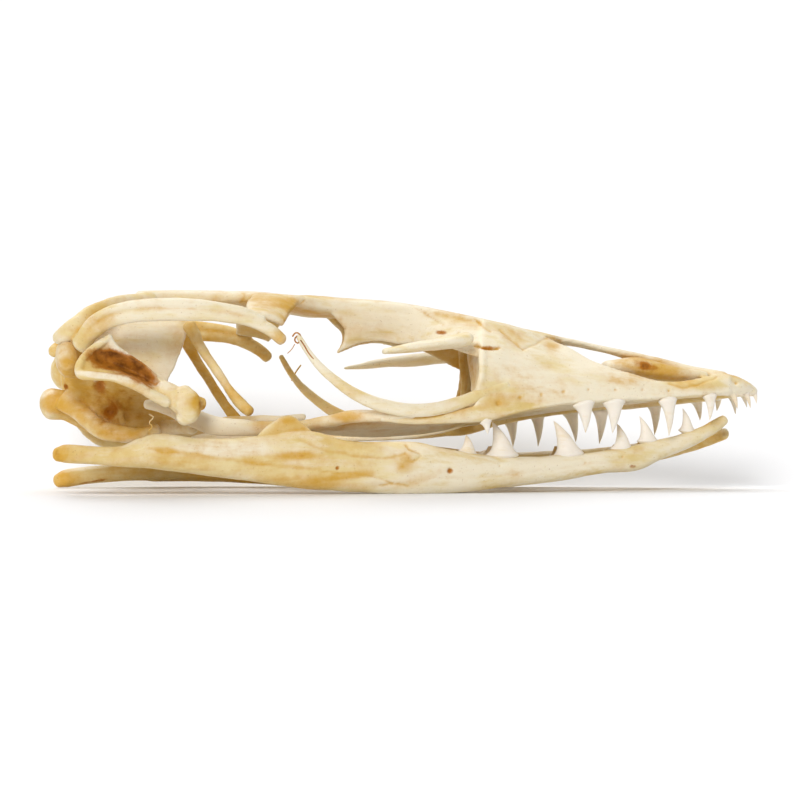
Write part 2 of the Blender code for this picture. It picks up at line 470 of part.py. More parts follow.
NEAR_PALPEBRAL = [(-2.6, 24.3, 19.2, 1.0, 0.5), (2.5, 25.0, 17.8, 1.8, 0.8), (7.0, 25.6, 16.4, 2.3, 1.05),
                  (11.0, 26.3, 15.0, 2.1, 1.2)]
FAR_PALPEBRAL = [(-9.2, 21.5, 20.2, 0.3, 0.28), (-6.0, 21.9, 19.4, 0.7, 0.55),
                 (-2.5, 22.4, 18.4, 1.2, 0.85), (3.0, 22.9, 16.8, 1.9, 1.1), (8.6, 23.6, 15.2, 2.1, 1.15)]


# Objects
def make_object(name, mesh):
    points, faces = mesh
    data = bpy.data.meshes.new(name)
    data.from_pydata((points * MM).tolist(), [], faces)
    data.update()
    obj = bpy.data.objects.new(name, data)
    bpy.context.scene.collection.objects.link(obj)
    return obj


def finish_material():
    material = bpy.data.materials.new("bone")
    material.use_nodes = True
    shader = material.node_tree.nodes["Principled BSDF"]
    shader.inputs["Base Color"].default_value = BONE
    shader.inputs["Roughness"].default_value = 0.55
    return material


def fused(name, shapes, material, holder):
    """One object: the first shape, joined with the others by a Boolean union."""
    body = make_object(name, shapes[0])
    body.parent = holder
    body.data.materials.append(material)
    if len(shapes) > 1:
        group = bpy.data.collections.new(name + "_shapes")
        bpy.context.scene.collection.children.link(group)
        group.hide_render = True
        for k, shape in enumerate(shapes[1:]):
            part = make_object(f"{name}_shape_{k}", shape)
            bpy.context.scene.collection.objects.unlink(part)
            group.objects.link(part)
            part.parent = holder
            part.hide_render = True
            part.display_type = "WIRE"
        union = body.modifiers.new("join", "BOOLEAN")
        union.operation = "UNION"
        union.operand_type = "COLLECTION"
        union.collection = group
        union.solver = "EXACT"
    return body


def floor_block():
    """A block under z = 0, which cuts the two flats that the jaw rests on."""
    x, y, z = SKULL_LENGTH, SKULL_LENGTH, 10.0
    points = np.array([[a, b, c] for a in (-x, x) for b in (-y, y) for c in (-z, 0.0)])
    faces = [[0, 1, 3, 2], [4, 6, 7, 5], [0, 4, 5, 1], [2, 3, 7, 6], [0, 2, 6, 4], [1, 5, 7, 3]]
    block = make_object("floor_block", closed_mesh(points, faces))
    block.hide_render = True
    block.display_type = "WIRE"
    return block


def rest_flat(part, block):
    cut = part.modifiers.new("rest flat", "BOOLEAN")
    cut.operation = "DIFFERENCE"
    cut.object = block
    cut.solver = "EXACT"


def pose(name, x, z, roll, drop):
    """An empty that rolls what hangs on it about the point x, z of the middle plane, then lowers it."""
    holder = bpy.data.objects.new(name, None)
    bpy.context.scene.collection.objects.link(holder)
    turn = Matrix.Rotation(-math.radians(roll), 4, "X")
    pivot = Vector((x, 0, z)) * MM
    lower = Matrix.Translation(Vector((*TO_CENTRE, -drop)) * MM)
    holder.matrix_world = lower @ Matrix.Translation(pivot) @ turn @ Matrix.Translation(-pivot)
    return holder


def fallen_pose(name):
    """An empty that tips the far half of the jaw over towards the middle.

    It rolls about the line from its heel to its tip, then dips its heel."""
    holder = bpy.data.objects.new(name, None)
    bpy.context.scene.collection.objects.link(holder)
    tip, heel = Vector(FAR_JAW_TIP) * MM, Vector(FAR_JAW_HEEL) * MM
    roll = Matrix.Rotation(math.radians(FAR_JAW_ROLL), 4, tip - heel)
    dip = Matrix.Rotation(-math.radians(FAR_JAW_PITCH), 4, "Y")
    shift = Matrix.Translation((Vector(FAR_JAW_SHIFT) + Vector((*TO_CENTRE, 0))) * MM)
    holder.matrix_world = shift @ Matrix.Translation(tip) @ dip @ roll @ Matrix.Translation(-tip)
    return holder


def cranium_shapes():
    return (roof() + frontal_walls() + cheek_walls() + tooth_ridges() + orbit_fronts() + naris_floors()
            + brow_bars() + temple_arches() + parietal_arms() + braincase() + palate() + cheek_bones()
            + upper_teeth())


def main():
    bone = finish_material()
    head = pose("head", 0, LEAN_HEIGHT, LEAN, REST_DROP)
    near_jaw = pose("near_jaw", 0, 0, 0, REST_DROP)
    far_jaw = fallen_pose("far_jaw")
    fused("cranium", cranium_shapes(), bone, head)
    fused("quadrate_right", quadrate(), bone, head)
    fused("quadrate_left", [other_side(s) for s in quadrate()], bone, head)
    fused("epipterygoid_right", [epipterygoid()], bone, head)
    fused("epipterygoid_left", [other_side(epipterygoid())], bone, head)
    fused("palpebral_right", [palpebral(NEAR_PALPEBRAL)], bone, head)
    far_rows = [(u, v, -w, a, b) for u, v, w, a, b in FAR_PALPEBRAL]
    fused("palpebral_left", [palpebral(far_rows)], bone, head)
    right = [jaw_body(), coronoid()] + lower_teeth()
    left = [jaw_body(), coronoid()] + lower_teeth(FAR_TOOTH_STUMP)
    block = floor_block()
    rest_flat(fused("jaw_right", right, bone, near_jaw), block)
    rest_flat(fused("jaw_left", [other_side(s) for s in left], bone, far_jaw), block)


main()
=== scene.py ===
# %% [markdown]
# # A monitor lizard skull
# A lizard's skull is a cage of thin bars and curved sheets rather than a box. Each bone here is a
# smooth loft worked out with numpy, the lofts that grow together on the real skull are fused by a
# voxel remesh, and seams, holes and stains are then worked into the fused skin.
#
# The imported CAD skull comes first: it is the fixed frame that everything else is fitted to.

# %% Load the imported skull
import itertools
import math

import bpy
import numpy as np
from mathutils import Matrix, Vector


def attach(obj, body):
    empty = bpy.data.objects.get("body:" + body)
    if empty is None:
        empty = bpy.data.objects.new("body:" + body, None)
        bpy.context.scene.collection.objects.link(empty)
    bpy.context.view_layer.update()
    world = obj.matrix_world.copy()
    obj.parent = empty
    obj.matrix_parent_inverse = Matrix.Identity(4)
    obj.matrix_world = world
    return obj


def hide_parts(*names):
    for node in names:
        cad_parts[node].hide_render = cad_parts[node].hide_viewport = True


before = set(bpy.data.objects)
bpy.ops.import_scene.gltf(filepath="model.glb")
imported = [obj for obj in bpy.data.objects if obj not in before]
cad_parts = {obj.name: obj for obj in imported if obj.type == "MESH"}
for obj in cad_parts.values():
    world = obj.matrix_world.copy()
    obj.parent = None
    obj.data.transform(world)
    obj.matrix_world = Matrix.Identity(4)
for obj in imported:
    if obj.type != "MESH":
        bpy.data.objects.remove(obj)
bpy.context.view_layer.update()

# %% [markdown]
# ## The side view, taken back into space
# The bones are written the way a side view shows them: u runs forward along the head, v runs up,
# and w is how far the point lies out from the middle of the head. The view is turned and raised a
# little and is seen in perspective, and the head leans over, so a point's true place is found by
# undoing all four. `shown` is the other way round: it says where the view shows a point, which is
# how a stain at a given place in the picture finds the skin it belongs to.

# %% Sizes of the view and the pose, in millimetres and degrees
VIEW_DISTANCE = 900.0
VIEW_TURN = math.radians(5.5)
VIEW_RISE = math.radians(1.0)
VIEW_HEIGHT = 16.2
LEAN = math.radians(5.4)
UPRIGHT = 0.0
LEAN_HEIGHT = 10.0
REST_DROP = 1.12
TO_CENTRE = (-0.2, -0.3)
FAR_JAW_ROLL = math.radians(30.0)
FAR_JAW_PITCH = math.radians(1.45)
FAR_JAW_SHIFT = (1.1, 0.8, -3.32)
FAR_JAW_TIP = (54, 2, 12)
FAR_JAW_HEEL = (-56, 17.5, 7)
FAR_TOOTH_STUMP = 0.3
MM = 0.001
PICTURE_MM = 0.16713
PICTURE_ORIGIN = (400, 497.5)


def from_picture(px, py):
    """u and v in mm of a pixel of the photograph."""
    return (px - PICTURE_ORIGIN[0]) * PICTURE_MM, (PICTURE_ORIGIN[1] - py) * PICTURE_MM


def seen(u, v, w, lean=LEAN):
    """The head's point x, y, z that the side view shows at u, v, for a distance w out from its middle.

    Perspective shrinks u and v by D / (D + depth), the turn mixes x with y, the lean mixes y with z;
    a few rounds of correction settle all of them together. u, v and w may be whole arrays."""
    u, v, w = (np.asarray(c, float) for c in (u, v, w))
    y = -w
    depth = y
    x, z = u, v
    for _ in range(6):
        shrink = VIEW_DISTANCE / (VIEW_DISTANCE + depth)
        up = (v - VIEW_HEIGHT) / shrink + VIEW_HEIGHT
        y_world = y * math.cos(lean) + (z - LEAN_HEIGHT) * math.sin(lean)
        x = (u / shrink + y_world * math.sin(VIEW_TURN)) / math.cos(VIEW_TURN)
        depth = x * math.sin(VIEW_TURN) + y_world * math.cos(VIEW_TURN)
        z_world = (up - depth * math.sin(VIEW_RISE)) / math.cos(VIEW_RISE)
        z = LEAN_HEIGHT + (z_world - LEAN_HEIGHT + y * math.sin(lean)) / math.cos(lean)
    return np.stack(np.broadcast_arrays(x, y, z), axis=-1)


def shown(points, lean=LEAN):
    """Where the side view shows points of the head: seen() the other way round."""
    x, y, z = np.asarray(points, float).T
    y_world = y * math.cos(lean) + (z - LEAN_HEIGHT) * math.sin(lean)
    z_world = LEAN_HEIGHT + (z - LEAN_HEIGHT) * math.cos(lean) - y * math.sin(lean)
    depth = x * math.sin(VIEW_TURN) + y_world * math.cos(VIEW_TURN)
    shrink = VIEW_DISTANCE / (VIEW_DISTANCE + depth)
    u = (x * math.cos(VIEW_TURN) - y_world * math.sin(VIEW_TURN)) * shrink
    up = z_world * math.cos(VIEW_RISE) + depth * math.sin(VIEW_RISE)
    return u, VIEW_HEIGHT + (up - VIEW_HEIGHT) * shrink


def leaning(roll):
    """The matrix that leans the head over by roll and lowers it to the surface."""
    pivot = Vector((0, 0, LEAN_HEIGHT)) * MM
    lower = Matrix.Translation(Vector((*TO_CENTRE, -REST_DROP)) * MM)
    return (lower @ Matrix.Translation(pivot) @ Matrix.Rotation(-roll, 4, "X")
            @ Matrix.Translation(-pivot) @ Matrix.Scale(MM, 4))


def fallen():
    """The matrix of the far half of the jaw, rolled inwards on its side with its heel dipped."""
    tip, heel = Vector(FAR_JAW_TIP) * MM, Vector(FAR_JAW_HEEL) * MM
    shift = Matrix.Translation((Vector(FAR_JAW_SHIFT) + Vector((*TO_CENTRE, 0))) * MM)
    return (shift @ Matrix.Translation(tip) @ Matrix.Rotation(-FAR_JAW_PITCH, 4, "Y")
            @ Matrix.Rotation(FAR_JAW_ROLL, 4, tip - heel) @ Matrix.Translation(-tip)
            @ Matrix.Scale(MM, 4))


HEAD_PLACE = leaning(LEAN)
JAW_PLACE = leaning(UPRIGHT)
FAR_JAW_PLACE = fallen()
back_again = shown(seen(10, 20, 15)[None])
print("a point sent out and back:", [round(float(c[0]), 3) for c in back_again])

# %% [markdown]
# ## Camera, floor and light
# The skull was photographed almost level from its right side with a long lens, on white paper under
# soft light from above. The paper is one sheet that lies flat under the skull, rises behind it and falls
# away in front of it, so that the level camera still sees the soft shadow. Its underside lets the view
# through, so the skull can be looked at from behind as well.

# %% Camera at the photograph's angle
PICTURE_WIDTH = 800 / 6 * MM
SENSOR = 36.0


def place_camera():
    rise, turn = VIEW_RISE, -VIEW_TURN
    back = Vector((math.sin(turn) * math.cos(rise), -math.cos(turn) * math.cos(rise), math.sin(rise)))
    target = Vector((*TO_CENTRE, VIEW_HEIGHT - REST_DROP)) * MM
    lens = bpy.data.cameras.new("long_lens")
    lens.sensor_width = SENSOR
    lens.lens = SENSOR * VIEW_DISTANCE * MM / PICTURE_WIDTH
    lens.clip_start = 0.01
    camera = bpy.data.objects.new("camera", lens)
    bpy.context.scene.collection.objects.link(camera)
    camera.location = target + back * VIEW_DISTANCE * MM
    camera.rotation_mode = "QUATERNION"
    camera.rotation_quaternion = (-back).to_track_quat("-Z", "Y")
    bpy.context.scene.camera = camera
    return camera


camera = place_camera()
print("camera", round(camera.data.lens), "mm lens")

# %% [markdown]
# ## The white paper
# The paper could be a flat floor, but a level camera would see that as a line. A sheet whose height is a
# formula of its depth shows the shadow, and two wide suns give the shadow its soft edge.

# %% Paper sweep and soft light
TERRACE_FRONT = 0.0168
TERRACE_BACK = 0.020
FALL_SLOPE = 0.20
RISE_SLOPE = 0.66
SWEEP_EASE = 0.006
PAPER_HALF = 2.5
PAPER_WHITE = (0.90, 0.90, 0.91, 1)
ROOM_STRENGTH = 0.28
# strength, degrees across, tilt from overhead, turn
TOP_LIGHT = (1.80, 50, -22, 15)
FRONT_LIGHT = (1.85, 26, 60, -20)


def paper_sweep():
    """A sheet over x and y, flat under the skull. Past the flat, at a distance p, its height is
    slope * p^2 / (p + ease): it rises behind the skull and falls away in front of it."""
    x = np.linspace(-PAPER_HALF, PAPER_HALF, 9)
    past = np.geomspace(0.001, PAPER_HALF, 50)
    curve = past**2 / (past + SWEEP_EASE)
    y = np.concatenate([-TERRACE_FRONT - past[::-1], [-TERRACE_FRONT, 0, TERRACE_BACK],
                        TERRACE_BACK + past])
    z = np.concatenate([-FALL_SLOPE * curve[::-1], [0, 0, 0], RISE_SLOPE * curve])
    gx, gy = np.meshgrid(x, y, indexing="ij")
    points = np.stack([gx, gy, np.broadcast_to(z, gx.shape)], -1).reshape(-1, 3)
    rows, columns = gx.shape
    i, j = np.meshgrid(np.arange(rows - 1), np.arange(columns - 1), indexing="ij")
    first = (i * columns + j).ravel()
    faces = np.stack([first, first + columns, first + columns + 1, first + 1], -1)
    mesh = bpy.data.meshes.new("paper")
    mesh.from_pydata(points.tolist(), [], faces.tolist())
    mesh.shade_smooth()
    sheet = bpy.data.objects.new("paper", mesh)
    bpy.context.scene.collection.objects.link(sheet)
    return sheet


def paper_finish():
    """Matt white from above and clear from below."""
    material = bpy.data.materials.new("white_paper")
    material.use_nodes = True
    tree = material.node_tree
    shader = tree.nodes["Principled BSDF"]
    shader.inputs["Base Color"].default_value = PAPER_WHITE
    shader.inputs["Roughness"].default_value = 0.9
    shader.inputs["Specular IOR Level"].default_value = 0.1
    side = tree.nodes.new("ShaderNodeNewGeometry")
    through = tree.nodes.new("ShaderNodeBsdfTransparent")
    choice = tree.nodes.new("ShaderNodeMixShader")
    tree.links.new(side.outputs["Backfacing"], choice.inputs[0])
    tree.links.new(shader.outputs[0], choice.inputs[1])
    tree.links.new(through.outputs[0], choice.inputs[2])
    tree.links.new(choice.outputs[0], tree.nodes["Material Output"].inputs["Surface"])
    return material


def soft_light(name, strength, spread, tilt, turn):
    """Light from the whole of a patch of sky, spread degrees across, tilted from overhead."""
    lamp = bpy.data.lights.new(name, "SUN")
    lamp.energy = strength
    lamp.angle = math.radians(spread)
    obj = bpy.data.objects.new(name, lamp)
    bpy.context.scene.collection.objects.link(obj)
    obj.rotation_euler = (math.radians(tilt), 0, math.radians(turn))
    return obj


def light_room():
    world = bpy.data.worlds.new("white_room")
    world.use_nodes = True
    world.node_tree.nodes["Background"].inputs["Color"].default_value = (1, 1, 1, 1)
    world.node_tree.nodes["Background"].inputs["Strength"].default_value = ROOM_STRENGTH
    bpy.context.scene.world = world
    soft_light("top_light", *TOP_LIGHT)
    soft_light("front_light", *FRONT_LIGHT)
    bpy.context.scene.view_settings.view_transform = "Standard"


paper = paper_sweep()
paper.data.materials.append(paper_finish())
light_room()
print("paper and lights in place")

# %% [markdown]
# ## Surfaces from numbers
# Two kinds of surface make nearly every bone. A rod is an oval ring carried along a smooth path,
# and a plate is a smooth sheet through a few rails, given a thickness that thins to its edges.
# Both come as whole arrays of points and triangles, so there is no loop over points.

# %% Curves, grids and noise
STEP = 0.45
RING_SIDES = 28


def smooth(rows, count):
    """count rows read from a Catmull-Rom curve through the given rows: on each stretch the curve is the
    cubic whose end slopes are half the difference of the rows on either side."""
    rows = np.asarray(rows, float)
    last = len(rows) - 1
    padded = np.concatenate([[2 * rows[0] - rows[1]], rows, [2 * rows[-1] - rows[-2]]])
    at = np.linspace(0, last, count)
    k = np.minimum(at.astype(int), last - 1)
    t = (at - k).reshape(-1, *[1] * (rows.ndim - 1))
    a, b, c, d = padded[k], padded[k + 1], padded[k + 2], padded[k + 3]
    return 0.5 * (2 * b + (c - a) * t + (2 * a - 5 * b + 4 * c - d) * t**2
                  + (3 * b - a - 3 * c + d) * t**3)


def unit(rows):
    return rows / np.maximum(np.linalg.norm(rows, axis=-1, keepdims=True), 1e-9)


def count_for(path):
    """How many points a path gets, from its length."""
    return 3 + int(np.linalg.norm(np.diff(path, axis=0), axis=1).sum() / STEP)


def grid_faces(rows, columns, closed):
    """Two triangles for each cell of a grid; a closed grid joins its last column to its first."""
    i, j = np.meshgrid(np.arange(rows - 1), np.arange(columns if closed else columns - 1), indexing="ij")
    k = (j + 1) % columns
    a, b, c, d = i * columns + j, i * columns + k, (i + 1) * columns + k, (i + 1) * columns + j
    return np.concatenate([np.stack([a, b, c], -1).reshape(-1, 3), np.stack([a, c, d], -1).reshape(-1, 3)])


def outward(points, faces):
    """The same surface with its triangles turned to face out: the signed volume has to be positive."""
    a, b, c = (points[faces[:, k]] for k in range(3))
    volume = np.einsum("ij,ij->i", a, np.cross(b, c)).sum()
    return points, faces if volume > 0 else faces[:, ::-1]


def lattice_noise(points, size, seed):
    """Smooth noise from -1 to 1. Each corner of a cubic lattice gets a number hashed from its place, and a
    point takes the blend of its cell's eight corners, each weighted along each axis by 3t^2 - 2t^3."""
    at = points / size
    cell = np.floor(at).astype(np.int64)
    t = at - cell
    t = t * t * (3 - 2 * t)
    total = np.zeros(len(points))
    for corner in itertools.product((0, 1), repeat=3):
        x, y, z = (cell + corner).T
        mixed = (x * 73856093) ^ (y * 19349663) ^ (z * 83492791) ^ (seed * 9973)
        mixed = ((mixed ^ (mixed >> 13)) * 1274126177) & 0x7FFFFFFF
        mixed = (mixed ^ (mixed >> 15)) & 0xFFFF
        total += mixed / 0x7FFF * np.prod(np.where(corner, t, 1 - t), axis=1)
    return total - 1


def layered_noise(points, size, seed, layers=3):
    """Noise with finer noise on it: each layer has half the size and 0.55 of the height of the last."""
    levels = [0.55**k * lattice_noise(points, size / 2**k, seed + k) for k in range(layers)]
    return np.sum(levels, axis=0)


print("noise at one place:", round(float(lattice_noise(np.array([[1.2, 3.4, 5.6]]), 3, 1)[0]), 3))

# %% [markdown]
# ## The two surfaces
# A rod needs a ring at each step of its path that never twists, so one side of every ring is turned to the
# same fixed direction. A plate needs a rim all round, so that it is closed and can be fused with its
# neighbours.

# %% Rods and plates
CAP_ANGLES = (20, 42, 64, 80)


def rod(stations, sides=RING_SIDES, power=2.0, out=(0, 1, 0), cap=0.8, rings=None):
    """An oval ring carried along a smooth path of (x, y, z, half width, half height).

    A ring point is centre + across * half width * C + up * half height * S, where C and S are cosine and
    sine raised to 2/power with their signs kept. At each end the ring shrinks along a quarter circle."""
    stations = np.asarray(stations, float)
    rows = smooth(stations, rings or count_for(stations[:, :3]))
    centre, half_w, half_h = rows[:, :3], np.abs(rows[:, 3:4]), np.abs(rows[:, 4:5])
    along = unit(np.gradient(centre, axis=0))
    out = np.asarray(out, float)
    across = unit(out - along * (along @ out)[:, None])
    up = np.cross(along, across)
    arc = np.radians(CAP_ANGLES)
    order = np.array([(0, -1, s) for s in arc] + [(i, 0, math.pi / 2) for i in range(len(rows))]
                     + [(len(rows) - 1, 1, s) for s in arc[::-1]])
    i = order[:, 0].astype(int)
    reach = cap * np.minimum(half_w, half_h)[i]
    middle = centre[i] + along[i] * (order[:, 1] * np.cos(order[:, 2]))[:, None] * reach
    grow = np.sin(order[:, 2])[:, None, None]
    angle = np.arange(sides) * 2 * math.pi / sides
    c, s = np.cos(angle), np.sin(angle)
    oval_c = (np.sign(c) * np.abs(c) ** (2 / power))[None, :, None]
    oval_s = (np.sign(s) * np.abs(s) ** (2 / power))[None, :, None]
    loops = middle[:, None] + grow * (across[i][:, None] * half_w[i][:, None] * oval_c
                                      + up[i][:, None] * half_h[i][:, None] * oval_s)
    ends = np.stack([centre[0] - along[0] * reach[0], centre[-1] + along[-1] * reach[-1]])
    points = np.vstack([loops.reshape(-1, 3), ends])
    n = len(loops)
    k = np.arange(sides)
    m = (k + 1) % sides
    start = np.stack([np.full(sides, n * sides), m, k], -1)
    finish = np.stack([np.full(sides, n * sides + 1), (n - 1) * sides + k, (n - 1) * sides + m], -1)
    return outward(points, np.concatenate([grid_faces(n, sides, True), start, finish]))


def plate(rails, thick, rim=0.55):
    """A smooth sheet through the rails, given thickness along its normals.

    The thickness is thick in the middle and rim times that along the border, following the fourth root of
    the product of the sines across and along."""
    rails = np.asarray(rails, float)
    along = max(count_for(rail) for rail in rails)
    across = max(count_for(rails[:, j]) for j in range(rails.shape[1]))
    lines = smooth(rails.transpose(1, 0, 2), along).transpose(1, 0, 2)
    sheet = smooth(lines, across)
    normal = unit(np.cross(np.gradient(sheet, axis=1), np.gradient(sheet, axis=0)))
    s = np.sin(np.linspace(0, math.pi, across))[:, None]
    t = np.sin(np.linspace(0, math.pi, along))[None, :]
    depth = thick / 2 * (rim + (1 - rim) * np.clip(s * t, 0, 1) ** 0.25)[..., None]
    points = np.vstack([(sheet + normal * depth).reshape(-1, 3), (sheet - normal * depth).reshape(-1, 3)])
    half = across * along
    face = grid_faces(across, along, False)
    border = np.concatenate([np.arange(along), np.arange(1, across) * along + along - 1,
                             (across - 1) * along + np.arange(along - 2, -1, -1),
                             np.arange(across - 2, 0, -1) * along])
    after = np.roll(border, -1)
    rim_faces = np.concatenate([np.stack([after, border, half + border], -1),
                                np.stack([after, half + border, half + after], -1)])
    return outward(points, np.concatenate([face, half + face[:, ::-1], rim_faces]))


def other_side(mesh):
    """The same surface on the other side of the head."""
    points, faces = mesh
    return points * np.array([1.0, -1.0, 1.0]), faces[:, ::-1]


def both(mesh):
    return [mesh, other_side(mesh)]


def stations_of(rows, lean=LEAN):
    """Rows (u, v, w, half width, half height) as stations (x, y, z, half width, half height)."""
    rows = np.asarray(rows, float)
    return np.hstack([seen(*rows[:, :3].T, lean=lean), rows[:, 3:5]])


def head_rod(rows, lean=LEAN, **form):
    """A rod through rows read from the side view."""
    return rod(stations_of(rows, lean), **form)


def head_plate(rails, thick=1.1, lean=LEAN, **form):
    """A plate through rails of (u, v, w) read from the side view."""
    return plate([seen(*np.asarray(rail, float).T, lean=lean) for rail in rails], thick, **form)


def pair_rod(rows, **form):
    return both(head_rod(rows, **form))


def pair_plate(rails, **form):
    return both(head_plate(rails, **form))


def middle_rod(rows, **form):
    """A rod on the middle plane, from rows (u, v, w, half height): v is where its edge shows, at the half
    width w."""
    rows = np.asarray(rows, float)
    places = seen(*rows[:, :3].T)
    places[:, 1] = 0
    return rod(np.hstack([places, rows[:, 2:4]]), **form)


trial = rod([[0, 0, 0, 1, 1], [5, 0, 0, 1, 1], [9, 0, 2, 1, 1]])
print("a trial rod has", len(trial[0]), "points")

# %% [markdown]
# ## The skull roof
# The roof is one long shield: the parietal table at the back, the frontals over the eyes and a slim
# bar of nasal bone to the snout. It could be cut from a block, but its width and its camber change
# all along, so a wide squared oval is carried down the middle of the head instead.

# %% Skull roof
def roof():
    table = [(-43.3, 33.7, 5.4, 1), (-38, 33.5, 4.7, 1.3), (-32, 33.4, 4.7, 1.4),
             (-26.5, 33.4, 5.6, 1.3), (-22, 33.3, 7.6, 1.2), (-18, 33, 8.8, 1.2),
             (-15, 32.5, 7.2, 1.5), (-12, 32.2, 5.9, 1.6), (-7, 31.9, 5.2, 1.5),
             (-1, 31.7, 5.7, 1.2), (5, 31, 6.8, 0.95), (10, 30, 8, 0.9),
             (14, 29.2, 8.4, 0.9), (18, 28.3, 7.6, 0.9), (22, 27.3, 5.6, 0.8),
             (26, 26.4, 3.4, 0.7)]
    bar = [(24, 26.9, 3.2, 0.6), (30, 25.75, 2.2, 0.5), (33, 25.05, 2, 0.48),
           (36, 24.35, 1.9, 0.55), (42, 22.85, 1.8, 0.75), (48, 21.3, 1.9, 0.9),
           (54, 19.9, 2.8, 1.2)]
    tip = [(50, 20, 3, 1.1), (53, 19.4, 4.4, 1.6), (56, 18.8, 4.2, 1.7),
           (58, 18.2, 3, 1.3), (59.2, 17.7, 1.8, 0.8)]
    return [middle_rod(table, power=2.8), middle_rod(bar, power=2.6),
            middle_rod(tip, power=2.4)]


print("the roof has", len(roof()), "rods")

# %% [markdown]
# ## Flanges, brow bars and arches
# Under the frontals two thin flanges curl in and nearly meet, and behind the eyes a bar runs out on
# each side to the upper arch, which ends in a free stub. They are thin sheets and slim ribbons, so
# they are plates through rails and rods with a flat section.

# %% Flanges under the frontals
def frontal_walls():
    """The flanges that hang from the frontals, nearly meet below and end behind in a spike."""
    rails = [[(-12.5, 32.2, 5.2), (-7.5, 32, 4.9), (-3.5, 31.8, 4.9), (0.5, 31.4, 5.3), (5, 30.6, 6.4),
              (10, 29.4, 7.8), (15, 28.4, 8.4)],
             [(-10.9, 30, 4.2), (-6.9, 30.4, 4.3), (-3.3, 30.4, 4.6), (0.5, 30, 5.1), (4.9, 29.4, 6.7),
              (9.9, 28.3, 8.8), (15, 27.4, 10)],
             [(-9.4, 28.2, 3.2), (-6.4, 28.6, 3.5), (-3.1, 28.8, 3.9), (0.4, 28.6, 4.6), (4.8, 28.1, 7),
              (9.8, 27.1, 9.8), (15, 26.2, 11.7)],
             [(-9.3, 26.3, 2.4), (-6.3, 27.1, 2.7), (-3, 27.4, 3), (0.4, 27.1, 3.9), (4.8, 26.9, 7.3),
              (9.8, 25.7, 10.9), (15, 24.4, 13)],
             [(-10.4, 24.1, 1.6), (-7, 25.6, 1.9), (-3.2, 26.1, 2.2), (0.5, 25.6, 3.4), (4.8, 25.8, 7.7),
              (10, 24.4, 12), (15, 22.5, 14.2)]]
    return pair_plate(rails)


def brow_bars():
    """Postorbitofrontals: from the roof out to the stub behind the eye."""
    rails = [[(-24.5, 33.4, 6.4), (-25.6, 32, 12), (-25, 30.4, 16.6)],
             [(-20, 33.2, 8), (-21.6, 31.6, 12.4), (-21.8, 29.8, 16.4)],
             [(-16.8, 32.4, 7.4), (-18.4, 30.6, 12), (-19.4, 28.7, 15.4)]]
    return pair_plate(rails, thick=1.5)


def temple_arches():
    """Each upper arch is a ridge with a flatter band under it, and ends in front in a free stub."""
    ridge = [(-52.8, 26.4, 16.1, 1.3, 1.3), (-51.4, 28.9, 17, 1, 1), (-48.8, 30.9, 17.8, 0.9, 0.85),
             (-45, 31.9, 18.2, 0.9, 0.85), (-40.5, 32.3, 18.4, 0.9, 0.85),
             (-35.5, 32.25, 18.5, 0.9, 0.85), (-30.5, 31.8, 18.2, 0.85, 0.8),
             (-26, 30.9, 17.6, 0.85, 0.8), (-23, 29.6, 17, 0.8, 0.8)]
    band = [(-53.2, 25.4, 15.6, 1.3, 1.6), (-51.4, 27.4, 16.8, 1.1, 1.3), (-48.6, 29.2, 17.6, 0.9, 1.1),
            (-45, 30.1, 18.1, 0.75, 1.1), (-40.5, 30.5, 18.3, 0.75, 1.15),
            (-35.5, 30.5, 18.4, 0.75, 1.15), (-30.5, 30.3, 18.1, 0.75, 1.05),
            (-26, 29.6, 17.4, 0.8, 1), (-22.8, 28.5, 17, 0.9, 1.05),
            (-20.9, 27.3, 16.7, 0.95, 1), (-19.7, 26.2, 16.7, 0.9, 0.95)]
    return pair_rod(ridge) + pair_rod(band)


def parietal_arms():
    """The two arms that run back and out from the parietal, and curl in to the knobs at the very back."""
    rows = [(-41.5, 33, 4.2, 1.2, 1.2), (-45, 32.4, 7, 1, 1.5), (-48.6, 31.6, 10.6, 0.9, 1.5),
            (-51.4, 30.3, 13.4, 0.9, 1.6), (-53.8, 28.5, 14.8, 1, 1.6), (-55.8, 27.2, 14.4, 1.1, 1.4),
            (-56.9, 26.5, 12.8, 1, 1.1)]
    return pair_rod(rows)


print("flanges and arches:", len(frontal_walls() + brow_bars() + temple_arches()), "lofts")

# %% [markdown]
# ## The snout
# Each side of the snout is one curved wall, from the row of teeth up to the roof, with a long slot for
# the nostril above it. A plate through four rails gives the wall, and a rod gives the thick edge that
# holds the teeth. The eye socket's front wall and the swollen shelf in the nostril close it inside.

